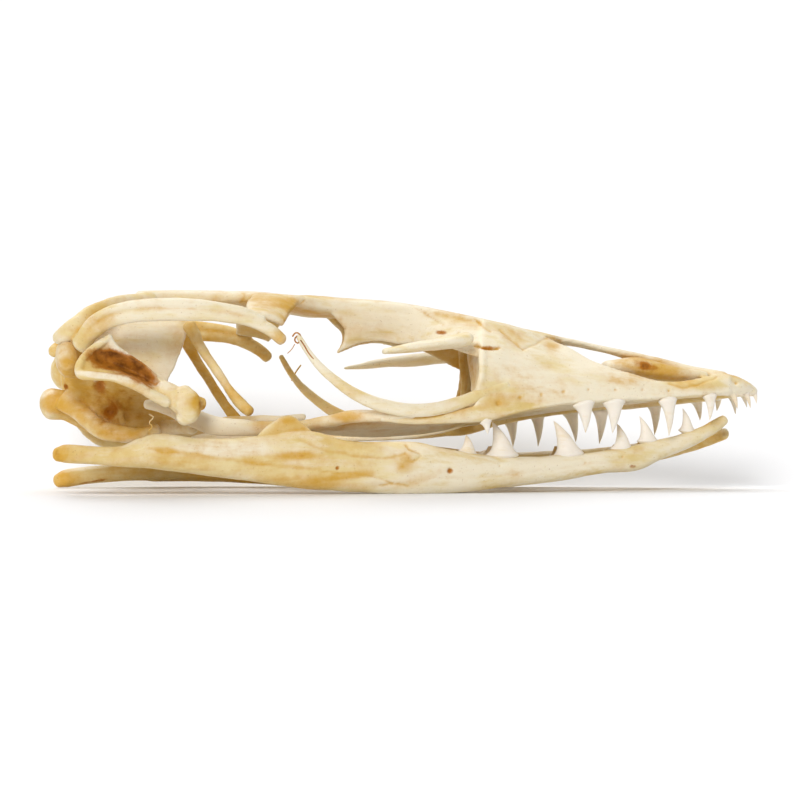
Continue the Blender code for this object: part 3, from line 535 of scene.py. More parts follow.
# %% Snout
def cheek_walls():
    """Maxilla, prefrontal and lacrimal: the side of the snout, from the tooth row to the roof."""
    rails = [[(12.2, 14.8, 16.4), (16, 13.6, 15.9), (20, 14.2, 15), (24, 15, 14.1),
              (28, 15.6, 13.2), (33, 16, 12.1), (38, 16.2, 11), (43, 16.4, 9.8),
              (47, 16.7, 8.7), (51, 17.1, 7.4), (55, 17.4, 5.4)],
             [(13.4, 18.4, 16.2), (16, 18.8, 15.3), (20, 18.8, 14.4), (24, 18.6, 13.4),
              (28, 18.5, 12.6), (33, 18.1, 11.6), (38, 17.8, 10.7), (43, 17.4, 9.6),
              (47, 17.5, 8.6), (51, 18, 7.2), (55, 18.4, 5.3)],
             [(13.6, 24, 14), (16.5, 24.2, 12.8), (20, 23.8, 11.6), (24, 22.8, 10.8),
              (28, 21.6, 10.6), (33, 20.2, 10.6), (38, 19.3, 10), (43, 18.5, 9.1),
              (47, 18.4, 8), (51, 19, 6.5), (55, 19.4, 4.6)],
             [(13.6, 29.4, 8.6), (17.5, 28.6, 7.6), (21, 27.7, 6.2), (24.5, 26.4, 4.6), (28.6, 24.4, 6.6),
              (33, 22.2, 8.4), (38, 20.6, 8.6), (43, 19.2, 8.2), (47, 19.1, 6.9), (51, 19.9, 5),
              (55, 20.2, 2.8)]]
    return pair_plate(rails)


def tooth_ridges():
    """The thick edge of the upper jaw that the teeth stand in, with the maxilla's rear end."""
    rows = [(-3, 13.4, 17.6, 0.7, 0.8), (3, 13.2, 17.2, 0.9, 1.1), (9, 13.6, 16.4, 1, 1.3),
            (14, 14, 15.6, 1.1, 1.4), (19, 15.2, 14.5, 1.1, 1.3), (25, 16.2, 13, 1.1, 1.2),
            (33, 16.9, 11.2, 1.1, 1.1), (41, 17.2, 9.4, 1.1, 1.1), (48, 17.6, 7.4, 1.1, 1.1),
            (53, 18, 5.4, 1.1, 1.1), (57, 18.1, 2.6, 1.2, 1), (58.2, 17.9, 0.2, 1.1, 0.8)]
    return pair_rod(rows)


def orbit_fronts():
    """The wall between the eye socket and the snout, with its rounded outer rim."""
    rails = [[(13.8, 16.6, 15.8), (13.9, 20.5, 15.4), (13.8, 24.5, 13.4), (13.6, 28.6, 8.8)],
             [(13.4, 16.6, 12), (13.6, 20, 11.4), (13.2, 23.5, 10), (12.8, 27.2, 8)],
             [(12, 17.6, 7.6), (12, 20.2, 6.6), (11.6, 22.8, 6.2), (11.2, 26, 6.2)]]
    rim = [(12.6, 16.4, 16.2, 0.6, 0.65), (13.6, 20.2, 15.7, 0.6, 0.65), (13.7, 24.4, 13.6, 0.6, 0.65),
           (13.4, 28, 9.4, 0.6, 0.65)]
    return pair_plate(rails, thick=1.2) + pair_rod(rim)


def naris_floors():
    """The septomaxilla, a swollen shelf inside each nostril."""
    rows = [(34.5, 21.6, 5, 2.6, 1.2), (39.5, 21.6, 4.6, 2.9, 1.6), (45, 20.6, 4, 2.6, 1.3),
            (50.5, 20.1, 2.8, 1.9, 0.9)]
    return pair_rod(rows)


print("the snout has", len(cheek_walls() + tooth_ridges() + naris_floors()), "lofts")

# %% [markdown]
# ## The braincase
# The braincase is a small box hung under the roof, with the round condyle at its back, a bony shelf to
# each side and a hollow for the ear. Its floor, sides, arms and horns are lofted apart and fused.

# %% Braincase
def braincase():
    floor = [(-57.9, 15.7, 2.9, 2.65), (-55.5, 15.4, 2.8, 2.4), (-52.6, 14, 3.6, 2.1),
             (-48.8, 12.2, 4.6, 2.1), (-45.2, 11.2, 5.2, 1.8), (-41.6, 11, 5, 1.5),
             (-38, 11.2, 4.4, 1.3), (-33.5, 11.8, 2.6, 1.2), (-27, 12.6, 1, 1),
             (-16, 13.4, 0.5, 0.6)]
    top = [(-43.5, 32.2, 5, 0.9), (-48, 30.4, 5.6, 0.9), (-52.5, 27.8, 5.4, 0.9),
           (-56, 24.9, 4.4, 0.8)]
    shapes = [middle_rod(floor), middle_rod(top, power=3.0)]
    walls = [[(-54, 15.6, 3.4), (-50.2, 13.4, 4.4), (-46, 11.8, 5), (-41.5, 11.8, 4.8),
              (-37.2, 12.4, 3.8)],
             [(-55.8, 18.2, 3.6), (-51, 17, 4.4), (-46.6, 16, 4.6), (-42, 15.8, 4.8),
              (-38.4, 15.6, 5)],
             [(-56, 20.8, 4.4), (-51, 20.2, 7), (-46.4, 19.8, 8.2), (-42, 19.3, 8.3),
              (-38.9, 18.8, 7.6)],
             [(-56, 24.2, 4.6), (-51, 25.2, 7.4), (-46.2, 25, 8.4), (-41.2, 24.6, 8.4),
              (-36.6, 24, 7.6)],
             [(-53.9, 27, 5), (-49.6, 28.6, 6.4), (-45, 30, 6.6), (-40, 31.4, 5.6),
              (-34.6, 31.6, 5)]]
    shapes += pair_plate(walls, thick=1.5)
    arms = [(-52.4, 22.4, 6, 1.6, 2.8), (-54.2, 23, 9.6, 1.9, 3.1), (-55.4, 23.2, 12.4, 2, 3.2),
            (-55.4, 23.6, 14.2, 1.7, 2.6)]
    shapes += pair_rod(arms, out=(1, 0, 0))
    horns = [(-40, 11.6, 4, 1.3, 1.3), (-37, 11.6, 7, 1.2, 1.2), (-34.6, 11.6, 10.4, 1.1, 1.2)]
    shapes += pair_rod(horns, out=(1, 0, 0))
    crest = [(-56.2, 16.2, 3.2, 0.8, 1.9), (-53.6, 14.4, 4.6, 0.9, 1.55), (-51.2, 12.2, 6.2, 0.9, 1.55),
             (-48.8, 11, 7.2, 0.9, 1.6), (-46, 10.5, 7.7, 0.9, 1.4), (-43.2, 10.5, 7.6, 0.85, 1),
             (-40.6, 11.2, 6.8, 0.9, 1)]
    shapes += pair_rod(crest)
    ear_ridge = [(-48.8, 18.6, 6.2, 0.5, 0.6), (-47.3, 15.6, 5.2, 0.5, 0.6), (-46, 12.6, 5.6, 0.5, 0.6)]
    shapes += pair_rod(ear_ridge)
    return shapes


print("the braincase has", len(braincase()), "lofts")

# %% [markdown]
# ## The palate and the cheek bars
# Two long bars run forward from the jaw joint and widen into the palate, a strut joins each to the cheek,
# and the cheek bar sweeps up behind the eye and ends free, as it does in these lizards.

# %% Palate and cheek bars
def palate():
    wings = [(-42.2, 15.5, 13.4, 0.7, 0.8), (-39.4, 15.2, 13.2, 0.8, 1.2), (-35.4, 13.6, 12.9, 0.9, 1.4),
             (-31, 12, 13, 0.9, 1.6), (-25, 11.6, 12.3, 1, 1.35), (-19.5, 11.6, 11.4, 1.3, 1.1),
             (-14, 11.7, 10.2, 1.9, 0.9), (-8, 11.9, 8.6, 2.4, 0.8), (-2, 12, 7.2, 2.4, 0.7),
             (5, 12.4, 6.2, 2.2, 0.7), (12, 13.2, 5.4, 2.2, 0.7), (18, 14.2, 4, 2, 0.7),
             (26, 15.2, 2.6, 1.6, 0.7), (36, 16.2, 2, 1.3, 0.7), (46, 17.2, 1.7, 1.2, 0.7),
             (53, 18.2, 1.5, 1.2, 0.8)]
    struts = [(-16.5, 11.8, 11, 1.2, 0.9), (-12, 12.6, 13.4, 1.2, 1), (-8, 13.4, 15.6, 1.1, 1.1),
              (-3.5, 13.6, 17.2, 1, 1), (2, 13.6, 17.6, 0.9, 0.9)]
    shelves = [(10.5, 13.4, 5.4, 2.2, 0.8), (12, 14.2, 10, 2, 0.75), (13, 14.8, 14.6, 1.8, 0.8)]
    sheets = [[(-17, 12.2, 12.2), (-11, 13, 12.6), (-5, 13.4, 12.4), (1, 13.5, 12),
               (7, 13.7, 11.6), (12, 14.2, 11.2)],
              [(-17, 11.8, 9.6), (-11, 11.7, 8.8), (-5, 11.8, 8.2), (1, 12, 7.6),
               (7, 12.6, 7.2), (12, 13.2, 7)],
              [(-17, 11.2, 7.4), (-11, 10.4, 5.4), (-5, 10.2, 4.4), (1, 10.4, 3.8),
               (7, 11.2, 3.6), (12, 12.7, 4)]]
    return (pair_rod(wings) + pair_rod(struts) + pair_rod(shelves, out=(1, 0, 0))
            + pair_plate(sheets, thick=0.9))


def cheek_bones():
    """Jugals: the thin bars that sweep up behind each eye socket and end free."""
    rows = [(-16.9, 26.8, 19.4, 0.4, 0.45), (-15.3, 24.2, 19.8, 0.45, 0.55), (-13.2, 21.6, 20, 0.5, 0.7),
            (-10.2, 19, 20, 0.6, 0.85), (-7, 16.9, 19.8, 0.7, 1), (-3, 15.3, 19.2, 0.8, 1.1),
            (1.5, 14.5, 18.6, 0.9, 1.15), (6, 14.7, 17.8, 0.9, 1.1), (10, 15.8, 17, 0.8, 1.05),
            (14, 17.3, 16, 0.65, 0.95), (18, 18.6, 15.1, 0.35, 0.7)]
    return pair_rod(rows)


print("palate and cheek bars:", len(palate() + cheek_bones()), "lofts")

# %% [markdown]
# ## The lower jaw
# A jaw half is one long bar, low at the heel, deepest under the eye and tapering to the chin. Its upper
# and lower edges are read from the side view, and the oval between them is carried along the jaw.

# %% Lower jaw
def jaw_body():
    """One side of the lower jaw: its height comes from its upper and lower edges."""
    # u, upper edge, lower edge, out from the middle, half width
    edges = [(-57, 8.3, 6, 17.2, 1.2), (-55.5, 8.7, 5.8, 17.5, 1.5), (-52, 8.5, 5.6, 18, 1.4),
             (-46.5, 8.5, 5.1, 18.5, 1.5), (-42.8, 9.8, 4.9, 18.6, 2.2), (-40, 10.5, 4.6, 18.6, 2.6),
             (-34, 9.9, 3.9, 18.5, 2.4), (-28, 9.8, 3.1, 18.2, 2.1), (-23, 10.2, 2.4, 17.7, 2.1),
             (-16, 11, 1.5, 17, 2.2), (-10, 9.5, 1.1, 16.3, 2.3), (-4, 9.2, 0.7, 15.6, 2.4),
             (2, 9.2, 0.3, 14.8, 2.4), (8, 8, 0.6, 13.9, 2.2), (14, 7, 1.2, 12.9, 2),
             (20, 6.7, 1.9, 11.8, 1.9), (27, 7, 2.8, 10.4, 1.8), (33.3, 7.6, 3.9, 9, 1.7),
             (39, 8.6, 4.4, 7.6, 1.6), (43, 9.6, 6.2, 6.4, 1.5), (47.5, 10.7, 8, 4.9, 1.4),
             (51.5, 12.4, 10.2, 3.3, 1.3), (53.8, 13.6, 12, 2, 1)]
    u, high, low, w, half = np.array(edges).T
    return head_rod(np.stack([u, (high + low) / 2, w, half, (high - low) / 2], -1), UPRIGHT, power=2.3)


def coronoid():
    """The low peak on the jaw's upper edge, behind the teeth."""
    rails = [[(-24, 10, 16.8), (-19, 9, 16.6), (-13, 9, 16)],
             [(-22.2, 11.8, 16.2), (-18.6, 12, 16), (-15, 11.2, 15.6)],
             [(-19.8, 13.4, 15.8), (-18.5, 13.6, 15.7), (-17.4, 13.2, 15.6)]]
    return head_plate(rails, 1.5, UPRIGHT)


print("the jaw is a rod of", len(jaw_body()[0]), "points")

# %% [markdown]
# ## The loose bones
# The quadrate, a hollow shell with a thick lip and a squarish foot, carries the jaw joint.
# The epipterygoid is a slim prop, and the palpebral a small blade over the eye. None of them is grown
# together with the head, so each is a piece of its own.

# %% Loose bones
def quadrate():
    """A shell hollowed on its outer face, with a thick lip below, a squarish foot and a spur on it."""
    rim_up = [(-48.2, 27, 18.2), (-46.9, 25.2, 17.8), (-44.7, 23.5, 17.4), (-42.2, 21.8, 17.2),
              (-39.6, 19.5, 17.2), (-37.3, 17.4, 17.4)]
    deep = [(-51.2, 24.9, 17.6), (-49.6, 22.8, 16.5), (-46.8, 21.5, 16.1), (-43.6, 20, 16.2),
            (-40.9, 18.3, 16.5), (-38.2, 16.4, 17.2)]
    rim_low = [(-53.4, 20.8, 20), (-51.2, 20.3, 20.5), (-47.6, 20.1, 20.6), (-44.3, 18.9, 20.4),
               (-41.6, 17.4, 20), (-39, 15.7, 19.2)]
    conch = head_plate([rim_up, deep, rim_low])
    lip = [(-48.3, 26.7, 18.1, 0.5, 0.5), (-51.5, 24.5, 18.2, 0.6, 0.6), (-53.2, 22.3, 19.2, 0.75, 0.75),
           (-53.3, 20.6, 20.1, 0.85, 0.85), (-51, 20.2, 20.6, 0.8, 0.8), (-47.6, 19.9, 20.7, 0.75, 0.75),
           (-44.3, 18.7, 20.5, 0.75, 0.75), (-41.4, 17.1, 19.9, 0.8, 0.8), (-38.9, 15.8, 19, 0.9, 0.9)]
    stem = [(-39.8, 18.2, 17.6, 1.1, 1.5), (-37.8, 16.8, 18, 1.5, 1.9), (-36, 15.4, 18.4, 1.8, 1.9)]
    foot = [(-36.2, 17.2, 18, 1.6, 1.8), (-35.4, 15.6, 18.5, 2.2, 2.5), (-35.6, 14, 18.6, 2, 2.3),
            (-36.2, 13.1, 18.4, 1.2, 1.6)]
    spur = [(-34.2, 15.9, 18.2, 0.9, 1.2), (-32.9, 15.5, 17.8, 0.8, 1.1)]
    block = head_rod(foot, out=(1, 0, 0), power=2.8)
    return [conch, block] + [head_rod(rows) for rows in (lip, stem, spur)]


def epipterygoid():
    rows = [(-35.1, 28.6, 8.7, 1, 1.15), (-34.3, 27.1, 8.9, 0.95, 1.05), (-33.2, 25, 9.3, 0.75, 0.9),
            (-30.8, 21.4, 9.8, 0.7, 0.75), (-28.2, 17.6, 10.6, 0.7, 0.75), (-26.3, 15.3, 11.4, 0.8, 0.9),
            (-25.2, 14.3, 12, 0.95, 0.85)]
    return head_rod(rows)


NEAR_PALPEBRAL = [(-2.6, 24.3, 19.2, 1, 0.5), (2.5, 25, 17.8, 1.8, 0.8), (7, 25.6, 16.4, 2.3, 1.05),
                  (11, 26.3, 15, 2.1, 1.2)]
FAR_PALPEBRAL = [(-9.2, 21.5, 20.2, 0.3, 0.28), (-6, 21.9, 19.4, 0.7, 0.55),
                 (-2.5, 22.4, 18.4, 1.2, 0.85), (3, 22.9, 16.8, 1.9, 1.1), (8.6, 23.6, 15.2, 2.1, 1.15)]
print("a quadrate has", len(quadrate()), "lofts")

# %% [markdown]
# ## Dried threads
# A few threads of dried tissue still cling to the ends of the cheek bars and under the ear. They could be
# curves with a bevel, but as very thin rods they need nothing new, so the rod's surface is carried along
# paths read from the photograph. Each row is a path in pixels, its distance out and its radius in mm.

# %% Dried threads
THREAD_SIDES = 10
NEAR_THREADS = [
    ([(293, 337), (296, 333.5), (300, 335), (301, 340), (298, 344), (295, 341), (297, 337),
      (302, 340)], 19.6, 0.13),
    ([(301, 341), (305, 347), (309, 354), (316, 362), (325, 370), (333, 376)], 20.3, 0.10),
    ([(295, 345), (292, 350), (288, 354)], 19.4, 0.07),
    ([(150, 415), (154, 418), (150, 423), (153, 427), (150, 431)], 13.9, 0.12),
]
FAR_THREADS = [([(292, 381), (296, 373), (301, 366)], 20.0, 0.13)]


def threads():
    """Fine round rods through places of the side view, at one distance out from the middle."""
    shapes = []
    for rows, side in ((NEAR_THREADS, 1), (FAR_THREADS, -1)):
        for line, w, radius in rows:
            u, v = from_picture(*np.array(line, float).T)
            places = seen(u, v, np.full(len(u), side * w))
            shapes.append(rod(np.hstack([places, np.full((len(u), 2), radius)]), sides=THREAD_SIDES))
    return shapes


print(len(threads()), "threads")

# %% [markdown]
# ## Teeth
# The teeth are flattened cones that lean back, with a wider foot where each is fused to the jaw. A cone
# with a bowed axis would do from afar; here the axis is a curve and the width follows a power law, so
# the blade stays full in the middle and runs out to a needle.

# %% Teeth
TOOTH_RINGS = 26
TOOTH_SIDES = 18
ROOT_DEPTH = 0.12
NEEDLE = 0.03
TAPER = 0.88
FOOT_SWELL = 0.3
FOOT_REACH = 0.16
UPPER_FLATNESS, UPPER_BOW = 0.62, 0.08
LOWER_FLATNESS, LOWER_BOW = 0.58, 0.14
# foot (u, v), tip (u, v), out from the middle, half width
NEAR_LOWER = [((11.2, 7.2), (11, 10.4), 12.8, 1.4), ((17, 6.9), (15.4, 12.5), 12.0, 2.15),
              ((28, 6.9), (25.6, 12.7), 9.8, 2.1), ((37, 7.8), (36.2, 12.2), 7.8, 1.6),
              ((41.2, 9.3), (39.9, 13.5), 6.4, 1.35), ((47.8, 11), (47.1, 14.8), 4.4, 1.1)]
NEAR_UPPER = [((14.3, 12.6), (14.6, 10.5), 16.0, 0.8), ((30.6, 15.6), (30.9, 10.7), 12.2, 1.45),
              ((35.6, 15.9), (35.4, 10.7), 11.0, 1.5), ((44.6, 16.2), (44.8, 10.2), 9.0, 1.2),
              ((51.6, 16.9), (51.6, 12.8), 6.8, 0.95), ((55.4, 17.4), (56.2, 14.8), 4.2, 0.6),
              ((57.6, 17.5), (58.4, 14.9), 2.4, 0.5), ((59, 17.6), (59.4, 15.6), 0.8, 0.45)]
FAR_UPPER = [((18.4, 13), (18.8, 8.4), 15.4, 1.15), ((22.8, 14), (23, 8.5), 14.2, 1.2),
             ((28.3, 14.6), (29.3, 9.2), 12.8, 1.25), ((33.4, 15), (33.2, 8.9), 11.4, 1.3),
             ((42.4, 15.6), (42.4, 10.3), 9.0, 1.1), ((49.4, 16.3), (50, 12.8), 7.2, 0.95),
             ((53, 16.8), (52.8, 14.4), 5.6, 0.7), ((55.2, 17), (55.9, 13.9), 4.0, 0.6),
             ((57, 17.3), (57.8, 15), 2.2, 0.5)]


def tooth(base, tip, wide, deep, bow):
    """A blade on a bowed axis: (1-t)^2 base + 2t(1-t) middle + t^2 tip. Its half width is
    wide * (1-t)^taper and swells at the foot by a bell curve of t; its half depth is the same with
    deep."""
    middle = (base + tip) / 2 + np.array([bow * np.linalg.norm(tip - base), 0, 0])
    t = np.linspace(-ROOT_DEPTH, 1, TOOTH_RINGS)[:, None]
    axis = (1 - t) ** 2 * base + 2 * t * (1 - t) * middle + t**2 * tip
    swell = 1 + FOOT_SWELL * np.exp(-(np.maximum(t, 0) / FOOT_REACH) ** 2)
    shrink = np.clip(1 - t, 0, 1) ** TAPER * swell * np.clip(1 + t * 4, 0.4, 1)
    rows = np.hstack([axis, deep * shrink + NEEDLE, wide * shrink + NEEDLE])
    return rod(rows, sides=TOOTH_SIDES, cap=1.0, rings=TOOTH_RINGS * 2)


def tooth_row(rows, side, lean, flatness, bow, height=1.0):
    """The teeth of one side, with height less than 1 for broken stumps."""
    teeth = []
    for base, tip, w, wide in rows:
        foot, end = seen(*base, side * w, lean), seen(*tip, side * w, lean)
        teeth.append(tooth(foot, foot + (end - foot) * height, wide, wide * flatness, bow))
    return teeth


def upper_teeth():
    return (tooth_row(NEAR_UPPER, 1, LEAN, UPPER_FLATNESS, UPPER_BOW)
            + tooth_row(FAR_UPPER, -1, LEAN, UPPER_FLATNESS, UPPER_BOW))


def lower_teeth(height=1.0):
    return tooth_row(NEAR_LOWER, 1, UPRIGHT, LOWER_FLATNESS, LOWER_BOW, height)


print(len(NEAR_UPPER + FAR_UPPER), "upper teeth and", len(NEAR_LOWER), "in each lower jaw")

# %% [markdown]
# ## Growing the bones together
# On the skull the bones meet in soft fillets, not in sharp corners. A voxel remesh takes the lofts of one
# group as a single volume and gives it an even skin, and a few rounds of smoothing that push back out
# what they pull in round the corners without thinning the bars.

# %% Fuse and relax
VOXEL = 0.25
SHIELD_VOXEL = 0.30
SLIM_VOXEL = 0.20
PROP_VOXEL = 0.18
RELAX_IN = 0.5
RELAX_OUT = -0.53


def mesh_data(name, points, faces):
    data = bpy.data.meshes.new(name)
    data.vertices.add(len(points))
    data.vertices.foreach_set("co", np.ascontiguousarray(points, np.float32).ravel())
    data.loops.add(faces.size)
    data.loops.foreach_set("vertex_index", np.ascontiguousarray(faces, np.int32).ravel())
    data.polygons.add(len(faces))
    data.polygons.foreach_set("loop_start", np.arange(0, faces.size, faces.shape[1], dtype=np.int32))
    data.update(calc_edges=True)
    data.validate()
    return data


def joined(shapes):
    """Several surfaces as one list of points and one of triangles."""
    starts = np.cumsum([0] + [len(points) for points, _ in shapes[:-1]])
    return (np.vstack([points for points, _ in shapes]),
            np.concatenate([faces + start for (_, faces), start in zip(shapes, starts)]))


def voxel_skin(shapes, voxel):
    """The outer skin of the shapes' common volume, on a lattice of voxels of that size."""
    block = bpy.data.objects.new("block", mesh_data("block", *joined(shapes)))
    bpy.context.scene.collection.objects.link(block)
    remesh = block.modifiers.new("remesh", "REMESH")
    remesh.mode = "VOXEL"
    remesh.voxel_size = voxel
    skin = block.evaluated_get(bpy.context.evaluated_depsgraph_get()).to_mesh()
    skin.calc_loop_triangles()
    points = np.empty(len(skin.vertices) * 3, np.float32)
    faces = np.empty(len(skin.loop_triangles) * 3, np.int32)
    skin.vertices.foreach_get("co", points)
    skin.loop_triangles.foreach_get("vertices", faces)
    bpy.data.objects.remove(block)
    return points.reshape(-1, 3).astype(float), faces.reshape(-1, 3)


def edges_of(faces):
    ends = np.sort(np.concatenate([faces[:, [0, 1]], faces[:, [1, 2]], faces[:, [2, 0]]]), axis=1)
    return np.unique(ends, axis=0)


def neighbour_mean(values, edges):
    """For each point, the mean of the values of the points that it shares an edge with."""
    count = np.bincount(edges.ravel(), minlength=len(values))
    columns = [np.bincount(edges[:, 0], column[edges[:, 1]], len(values))
               + np.bincount(edges[:, 1], column[edges[:, 0]], len(values)) for column in values.T]
    return np.stack(columns, -1) / np.maximum(count, 1)[:, None]


def relaxed(points, edges, rounds):
    """Rounds of smoothing: half way in to the neighbours' mean, then a little more than that back out."""
    for _ in range(rounds):
        points = points + RELAX_IN * (neighbour_mean(points, edges) - points)
        points = points + RELAX_OUT * (neighbour_mean(points, edges) - points)
    return points


def normals_of(points, faces):
    """Normals at the points: the sum of the cross products of the triangles round each, made unit."""
    a, b, c = (points[faces[:, k]] for k in range(3))
    face_normal = np.cross(b - a, c - a)
    total = [sum(np.bincount(faces[:, k], face_normal[:, axis], len(points)) for k in range(3))
             for axis in range(3)]
    return unit(np.stack(total, -1))


def bulge_of(points, normals, edges, rounds=6):
    """How far a point stands out of its surroundings, in mm: minus in a crease, plus on a ridge."""
    mean = points
    for _ in range(rounds):
        mean = neighbour_mean(mean, edges)
    return np.einsum("ij,ij->i", points - mean, normals)


def fused(shapes, voxel=VOXEL, rounds=5):
    points, faces = voxel_skin(shapes, voxel)
    return relaxed(points, edges_of(faces), rounds), faces


print("voxels in mm:", VOXEL, SHIELD_VOXEL, SLIM_VOXEL, PROP_VOXEL)

# %% [markdown]
# ## Relief: seams, holes and grain
# Seams between bones, the row of nerve holes over the teeth and the fibrous grain are worked into the
# skin by moving its points along their normals. Each seam is a line in the side view, and a point's
# depth follows its distance from that line, so the seam lies on the bone whatever its curve.

# %% Seams, holes and grain
def side_view(points, normals, lean):
    """u and v of each point as if its side of the head faced the view, and how squarely it faces out."""
    mirrored = points * np.array([1.0, 0, 1.0])
    mirrored[:, 1] = -np.abs(points[:, 1])
    u, v = shown(mirrored, lean)
    return u, v, normals[:, 1] * np.sign(points[:, 1] + 1e-9)


def distance_to_line(u, v, line):
    """The distance from each u, v to a line of several straight stretches."""
    least = np.full(len(u), 1e9)
    for (au, av), (bu, bv) in zip(line[:-1], line[1:]):
        du, dv = bu - au, bv - av
        t = np.clip(((u - au) * du + (v - av) * dv) / (du * du + dv * dv), 0, 1)
        least = np.minimum(least, np.hypot(u - au - t * du, v - av - t * dv))
    return least


def wobbled(line, seed, size=0.22):
    """The line with points every half millimetre, each shifted a little to and fro, as a seam wanders."""
    line = np.array([from_picture(*p) for p in line])
    rows = smooth(line, 3 + int(np.linalg.norm(np.diff(line, axis=0), axis=1).sum() / 0.5))
    shift = lattice_noise(np.stack([rows[:, 0], rows[:, 1], np.full(len(rows), 3.1)], -1), 0.9, seed)
    normal = unit(np.gradient(rows, axis=0))[:, ::-1] * np.array([1, -1])
    return rows + normal * shift[:, None] * size


def seam_depth(u, v, facing, seams):
    """How deep the seams cut: depth times a bell curve of the distance over the half width."""
    depth = np.zeros(len(u))
    for k, (line, half_width, deep) in enumerate(seams):
        away = distance_to_line(u, v, wobbled(line, k))
        depth += deep * np.exp(-(away / half_width) ** 2)
    return depth * np.clip(facing * 3, 0, 1)


def hole_depth(u, v, facing, holes):
    """How deep the nerve holes go: a bell curve of the distance from each hole's centre."""
    depth = np.zeros(len(u))
    for px, py, radius, deep in holes:
        hu, hv = from_picture(px, py)
        depth += deep * np.exp(-((u - hu) ** 2 + (v - hv) ** 2) / radius**2)
    return depth * np.clip(facing * 3, 0, 1)


def grain(points, seed, coarse=0.10, fine=0.035):
    """Low lumps some 3 mm apart and finer fibres drawn out along the head."""
    lumps = layered_noise(points * np.array([0.6, 1, 1]), 3.0, seed, 2)
    fibres = layered_noise(points * np.array([0.28, 1, 1]), 0.8, seed + 7, 2)
    return coarse * lumps + fine * fibres


print("a wandering seam has", len(wobbled([(400, 300), (443, 326)], 0)), "points")

# %% [markdown]
# ## Stains
# The skull was never bleached. Ochre collects in hollows and along seams, brown sits in a few blotches,
# and ridges and rims are worn pale. Three numbers per point keep this: how ochre, how brown and how
# pale. The material breaks their edges up with noise, so no stain ends in a drawn line.

# %% Stain values of a skin
CREASE_OCHRE, RIDGE_OCHRE, RIDGE_PALE = 2.2, 0.8, 2.0
DRIFT_OCHRE, DRIFT_PALE, DRIFT_SIZE = 0.28, 0.3, 7.0


def blot(u, v, mark):
    """A soft oval turned by an angle in degrees: e^(-0.9 r^2.4), where r is 1 at its radii."""
    px, py, wide, high, angle = mark
    mu, mv = from_picture(px, py)
    turn = math.radians(angle)
    du, dv = u - mu, v - mv
    a = (du * math.cos(turn) + dv * math.sin(turn)) / (wide * PICTURE_MM)
    b = (dv * math.cos(turn) - du * math.sin(turn)) / (high * PICTURE_MM)
    return np.exp(-0.9 * np.hypot(a, b) ** 2.4)


def stains(points, normals, faces, marks, lean, seed, ochre=0.32, pale=0.35, inner=0.35, one_sided=True):
    """Ochre, brown and pale of each point: from creases and ridges, from drifting noise, and from marks.
    A skin that faces in gets inner more ochre and as much less pale."""
    edges = edges_of(faces)
    bulge = bulge_of(points, normals, edges)
    bulge -= np.median(bulge)
    drift = layered_noise(points * np.array([0.45, 1, 1]), DRIFT_SIZE, seed, 3)
    crease, ridge = np.minimum(bulge, 0), np.maximum(bulge, 0)
    u, v, facing = side_view(points, normals, lean)
    turned_in = inner * np.clip(-2 * facing, 0, 1)
    tones = np.zeros((len(points), 4))
    tones[:, 0] = ochre + DRIFT_OCHRE * drift - CREASE_OCHRE * crease - RIDGE_OCHRE * ridge + turned_in
    tones[:, 2] = pale - DRIFT_PALE * drift + RIDGE_PALE * ridge - turned_in
    seen_side = (points[:, 1] < 0.5) if one_sided else np.ones(len(points), bool)
    for channel, strength, *mark in marks:
        tones[:, channel] += strength * blot(u, v, mark) * seen_side
    tones[:, :3] = np.clip(tones[:, :3], 0, 1)
    tones[:, 3] = 1
    return tones


print("strength at the middle of a mark:", float(blot(*from_picture(400, 400), (400, 400, 10, 5, 0))))

# %% [markdown]
# ## The bone's finish
# Dry bone is cream and a little translucent, with a faint sheen where it is dense. The shader starts
# from cream, lets in paler and yellower drifts and fibres, lays the ochre and brown of the stain values
# over them through noise, and takes its bump from the same fibres and from fine pores.

# %% Bone material
CREAM = (0.80, 0.655, 0.345, 1)
PALE = (0.88, 0.79, 0.60, 1)
STRAW = (0.74, 0.56, 0.23, 1)
OCHRE = (0.64, 0.35, 0.035, 1)
BROWN = (0.42, 0.14, 0.004, 1)
UMBER = (0.14, 0.042, 0.003, 1)
PORE = (0.36, 0.17, 0.03, 1)


class Graph:
    """A short hand for a material's nodes: each call adds one and returns one of its outputs."""

    def __init__(self, name):
        self.material = bpy.data.materials.new(name)
        self.material.use_nodes = True
        self.tree = self.material.node_tree
        self.shader = self.tree.nodes["Principled BSDF"]

    def feed(self, socket, source):
        """Wires a socket to another, or sets it to a plain value."""
        if isinstance(source, bpy.types.NodeSocket):
            self.tree.links.new(source, socket)
        else:
            socket.default_value = source

    def add(self, kind, wires=(), out=0, **settings):
        node = self.tree.nodes.new(kind)
        for key, value in settings.items():
            setattr(node, key, value)
        for socket, source in dict(wires).items():
            self.feed(node.inputs[socket], source)
        return node.outputs[out]

    def noise(self, place, scale, detail=4.0, rough=0.55):
        return self.add("ShaderNodeTexNoise", {"Vector": place, "Scale": scale, "Detail": detail,
                                               "Roughness": rough})

    def math(self, operation, a, b):
        return self.add("ShaderNodeMath", {0: a, 1: b}, operation=operation)

    def ramp(self, value, low, high, to_low=0.0, to_high=1.0):
        return self.add("ShaderNodeMapRange", {0: value, 1: low, 2: high, 3: to_low, 4: to_high},
                        interpolation_type="SMOOTHSTEP")

    def frayed(self, value, noise, amount):
        """The value with noise round it: value + amount * (noise - a half)."""
        return self.math("ADD", value, self.math("MULTIPLY", self.math("SUBTRACT", noise, 0.5), amount))

    def mix(self, factor, a, b):
        """The colour a where the factor is 0 and b where it is 1. A mix node's colours are its sockets
        6 and 7, and its third output is the mixed colour."""
        return self.add("ShaderNodeMix", {0: factor, 6: a, 7: b}, out=2, data_type="RGBA")


